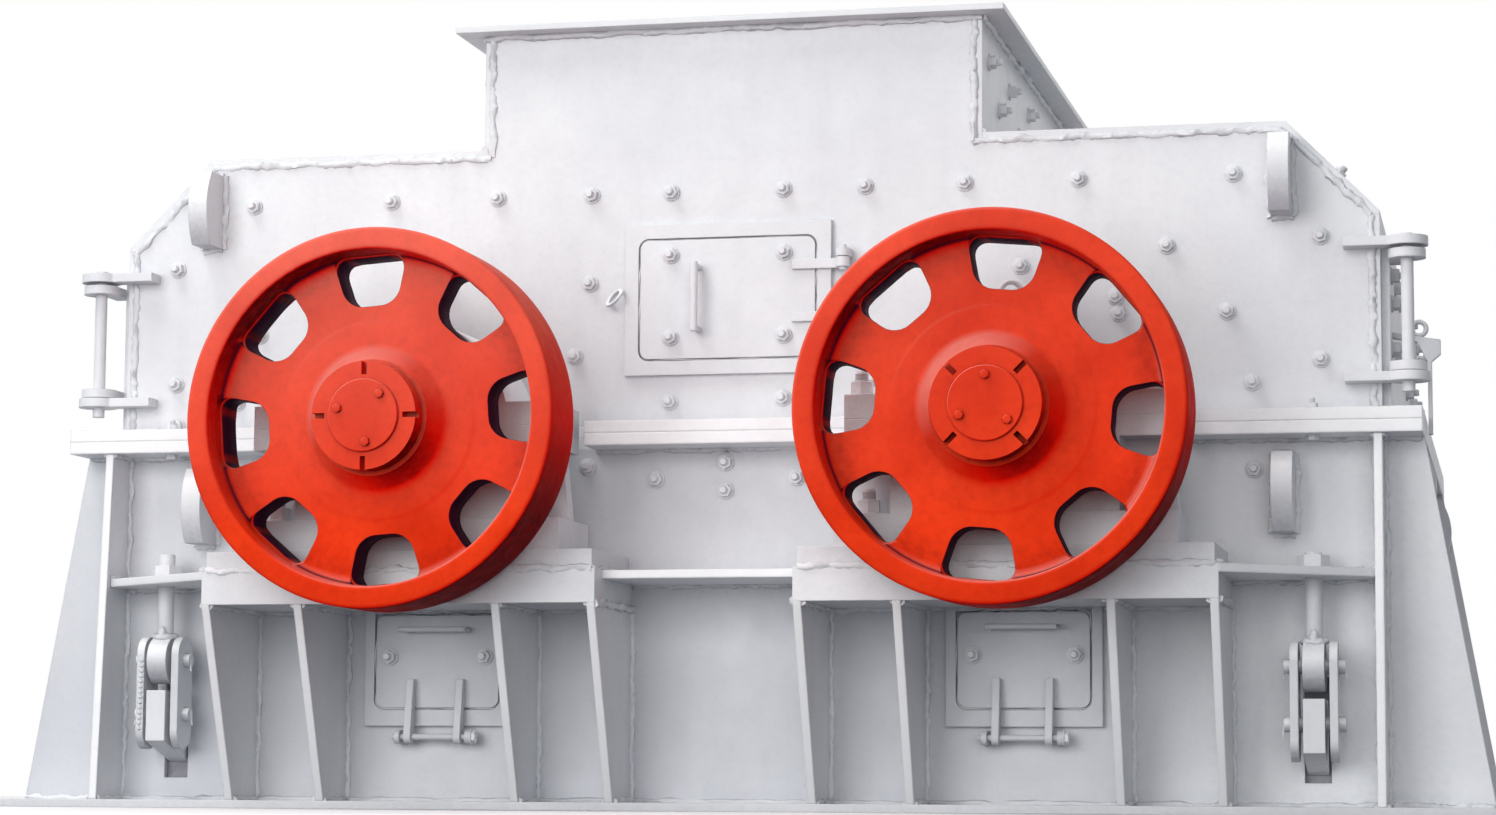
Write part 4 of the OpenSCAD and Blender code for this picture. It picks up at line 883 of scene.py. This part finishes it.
# ends, roof and hopper
ends = []
for side in sides:
    for z in (splitHigh, splitLow):
        ends.append(((side * endX, plate - wallY, z), (side * endX, wallY - plate, z)))
    ends.append(((side * endX, -wallY, baseTop), (side * endX, wallY, baseTop)))
    for way in sides:
        inside = way * (wallY - plate)
        ends.append(((side * endX, inside, baseTop), (side * endX, inside, splitLow)))
        foot, top = lug["endZ"] - lug["tall"], lug["endZ"] + lug["tall"]
        for y in (way * lug["endY"] - lug["thick"], way * lug["endY"] + lug["thick"]):
            ends.append(((side * endX, y, foot), (side * endX, y, top)))
    for z in (roofZ, rimFoot):
        ends.append(((side * hopperX, -wallY, z), (side * hopperX, wallY, z)))
beads("end_and_roof_welds", ends, weld["fillet"])
print("welds run")


# Bent wire: a half ring about Z with two straight legs, its legs spread at their tips
def bentWire(ringRadius, wire, leg, spread=1.0):
    clearPick()
    bpy.ops.mesh.primitive_circle_add(vertices=8, radius=wire, fill_type="NGON",
                                      location=(ringRadius, 0, 0), rotation=(math.pi / 2, 0, 0))
    piece = bpy.context.object
    bpy.ops.object.transform_apply(location=True, rotation=True)
    editPiece(piece, "FACE", whole=True)
    bpy.ops.transform.translate(value=(0, -leg, 0))
    bpy.ops.mesh.extrude_region_move(TRANSFORM_OT_translate={"value": (0, leg, 0)})
    bpy.ops.mesh.spin(steps=10, angle=math.pi, center=(0, 0, 0), axis=(0, 0, 1))
    bpy.ops.mesh.extrude_region_move(TRANSFORM_OT_translate={"value": (0, -leg, 0)})
    doneEditing()
    for side in sides:
        pickFaces(piece, lambda middle: middle.y < 0.001 - leg and middle.x * side > 0)
        bpy.ops.transform.translate(value=(side * ringRadius * (spread - 1), 0, 0))
        doneEditing()
    outwards(piece)
    return piece


# Closed wire ring lying flat, drawn longer than it is wide
def wireRing(radius, wire, stretch=1.0):
    clearPick()
    bpy.ops.mesh.primitive_torus_add(major_segments=32, minor_segments=8, major_radius=radius,
                                     minor_radius=wire, location=(0, 0, 0))
    ring = bpy.context.object
    stretched(ring, stretch, 1, 1)
    return ring


# Lump of weld metal: a ball drawn taller or flatter and made uneven
def weldLump(size, tall):
    clearPick()
    bpy.ops.mesh.primitive_ico_sphere_add(subdivisions=3, radius=size, location=(0, 0, 0))
    lump = bpy.context.object
    stretched(lump, 1, 1, tall)
    roughen(lump, size * 0.8, size * 0.7)
    return lump


# Seals in the gaps round the inspection door and the hatches, a little below their faces
seal = {"strip": 0.003, "clear": 0.001, "high": 0.011, "corner": 0.026, "wave": 0.07, "door": (0.442, 0.296),
        "hatch": (0.318, 0.228), "rise": 0.004}


# Rounded frame round a panel of the given size, lying flat, its top in low waves
def sealStrip(wide, tall):
    clearPick()
    bpy.ops.mesh.primitive_plane_add(size=1.0, location=(0, 0, 0))
    piece = bpy.context.object
    over = 2 * (seal["strip"] + seal["clear"])
    editPiece(piece, whole=True)
    bpy.ops.transform.resize(value=(wide + over, tall + over, 1))
    bpy.ops.mesh.bevel(offset=seal["corner"], segments=6, affect="VERTICES")
    pickAll()
    bpy.ops.mesh.inset(thickness=seal["strip"])
    bpy.ops.mesh.delete(type="FACE")
    pickAll()
    bpy.ops.mesh.subdivide(number_cuts=24)
    pickAll()
    bpy.ops.mesh.extrude_region_move(TRANSFORM_OT_translate={"value": (0, 0, seal["high"])})
    doneEditing()
    outwards(piece)
    roughen(piece, seal["wave"], seal["high"], 1, contrast=3.0, direction="Z", mid_level=0.75)
    return piece


doorSeal = sealStrip(*seal["door"])
finished("door_seal", [placed(doorSeal, (0, -wallY, doorZ), toFront)], "housing", castPaint)
hatchWide, hatchTall = seal["hatch"]
hatchSeal = sealStrip(hatchWide, hatchTall + seal["rise"])
hatchMiddle = hatchTop - hatchTall / 2 + seal["rise"] / 2
finished("hatch_seals", [copyOf(hatchSeal, (side * shaftX, -wallY, hatchMiddle), toFront) for side in sides],
         "housing", castPaint)
putAway(hatchSeal)

# Shields behind the slots of the grate beams, dark plates that stand for the shade in the slots. They and the
# small parts below are drawn for a beam with its underside at beamLow, and travel with the beams.
grate = {"beamLow": 0.104, "rodOut": 0.089, "sleeve": 0.413}
shield = {"wide": 0.150, "low": 0.060, "high": 0.345, "thick": 0.006, "away": 0.003, "edge": 0.0015}


def liftOf(sideName):
    return low("grate_beam_" + sideName).z - grate["beamLow"]


clearPick()
bpy.ops.mesh.primitive_cube_add(size=1.0, location=(0, 0, 0))
pattern = bpy.context.object
stretched(pattern, shield["wide"], shield["high"] - shield["low"], shield["thick"])
bevel = pattern.modifiers.new("edges", "BEVEL")
bevel.width, bevel.segments = shield["edge"], 2
bevel.limit_method, bevel.angle_limit = "ANGLE", math.radians(35)
applyModifier(pattern, bevel)
for side, sideName in sideNames:
    middle = (shield["low"] + shield["high"]) / 2 + liftOf(sideName)
    deep = wallY - plate - shield["away"] - shield["thick"] / 2
    plates = [copyOf(pattern, (side * beamX, way * deep, middle), toFront) for way in sides]
    finished("slot_shields_" + sideName, plates, "grate_" + sideName, slotShadePaint)
putAway(pattern)

# Split pins through the link pins, and the weld round each rod with a lump beside it
splitPin = {"ring": 0.0065, "wire": 0.0028, "leg": 0.046, "spread": 1.9, "fromEnd": 0.008,
            "turns": ((0.239, 20), (0.373, -35))}
rodWeld = {"ring": 0.0245, "wire": 0.0085, "grain": 0.014, "lump": 0.010, "seam": 0.010, "seamTall": 1.9,
           "seamOut": 0.022, "seamUp": 0.008}
pinPattern = bentWire(splitPin["ring"], splitPin["wire"], splitPin["leg"], splitPin["spread"])
for side, sideName in sideNames:
    node, lift, rodY = "grate_hangers_" + sideName, liftOf(sideName), wallY + grate["rodOut"]
    pinX = (high(node).x - low(node).x) / 2 - splitPin["fromEnd"]
    pins = [copyOf(pinPattern, (side * beamX + tip * pinX, way * rodY, z + lift),
                   turnOf(turn, "Z") @ toFront)
            for way in sides for z, turn in splitPin["turns"] for tip in sides]
    finished("split_pins_" + sideName, pins, "grate_" + sideName, castPaint)
    sleeveZ = grate["sleeve"] + lift
    lumps = []
    for way in sides:
        ring = placed(wireRing(rodWeld["ring"], rodWeld["wire"]), (side * beamX, way * rodY, sleeveZ))
        pick(ring)
        bpy.ops.object.transform_apply(location=True)
        roughen(ring, rodWeld["grain"], rodWeld["lump"])
        seam = placed(weldLump(rodWeld["seam"], rodWeld["seamTall"]),
                      (side * beamX, way * (rodY + rodWeld["seamOut"]), sleeveZ + rodWeld["seamUp"]))
        lumps += [ring, seam]
    finished("rod_welds_" + sideName, lumps, "grate_" + sideName, weldPaint, angle=60)
putAway(pinPattern)

# Row of small weld dots up the left link plate
dotRow = {"size": 0.0060, "tall": 0.8, "count": 14, "start": (-1.4700, -wallY - 0.1345, 0.196),
          "step": (0.0003, 0.0, 0.013)}
dot = weldLump(dotRow["size"], dotRow["tall"])
dots = [copyOf(dot, [start + step * number for start, step in zip(dotRow["start"], dotRow["step"])])
        for number in range(dotRow["count"])]
finished("link_weld_dots", dots, "grate_left", weldPaint, angle=60)
putAway(dot)

# Nut and washer on the right end of each hatch pin
hatchPin = {"washer": 0.019, "washerHigh": 0.003, "across": 0.028, "headHigh": 0.010, "end": 0.098,
            "out": 0.038, "drop": 0.072}
pinNut = hexHead(hatchPin)
nutY, nutZ = -wallY - hatchPin["out"], hatchTop - hatchTall - hatchPin["drop"]
pinNuts = [copyOf(pinNut, (side * shaftX + hatchPin["end"], nutY, nutZ), toRight) for side in sides]
finished("hatch_pin_nuts", pinNuts, "housing", boltPaint)
putAway(pinNut)

# Keeper ring beside the inspection door; ring and hook on the latch of the right end door
keeper = {"ring": 0.020, "wire": 0.0044, "stretch": 1.20, "place": (-0.284, -wallY - 0.028, 1.262),
          "lean": -45, "roll": 38}
keeperTurn = turnOf(keeper["lean"], "Y") @ turnOf(keeper["roll"], "X")
keeperRing = placed(wireRing(keeper["ring"], keeper["wire"], keeper["stretch"]), keeper["place"], keeperTurn)
finished("keeper_ring", [keeperRing], "housing", castPaint)
latch = {"y": 0.150 - wallY, "x": 1.667, "ring": 0.0165, "wire": 0.006, "barTop": 1.1405, "hook": 0.012,
         "hookWire": 0.0045, "hookLeg": 0.048, "hookX": 1.668, "hookZ": 1.079}
ring = placed(wireRing(latch["ring"], latch["wire"]),
              (latch["x"], latch["y"], latch["barTop"] + latch["ring"] + latch["wire"] * 0.6), toFront)
hook = placed(bentWire(latch["hook"], latch["hookWire"], latch["hookLeg"]),
              (latch["hookX"], latch["y"], latch["hookZ"]), turnOf(180, "Z") @ turnOf(-90, "X"))
finished("latch_ring_and_hook", [ring, hook], "end_door_right", castPaint)
print("small parts placed")
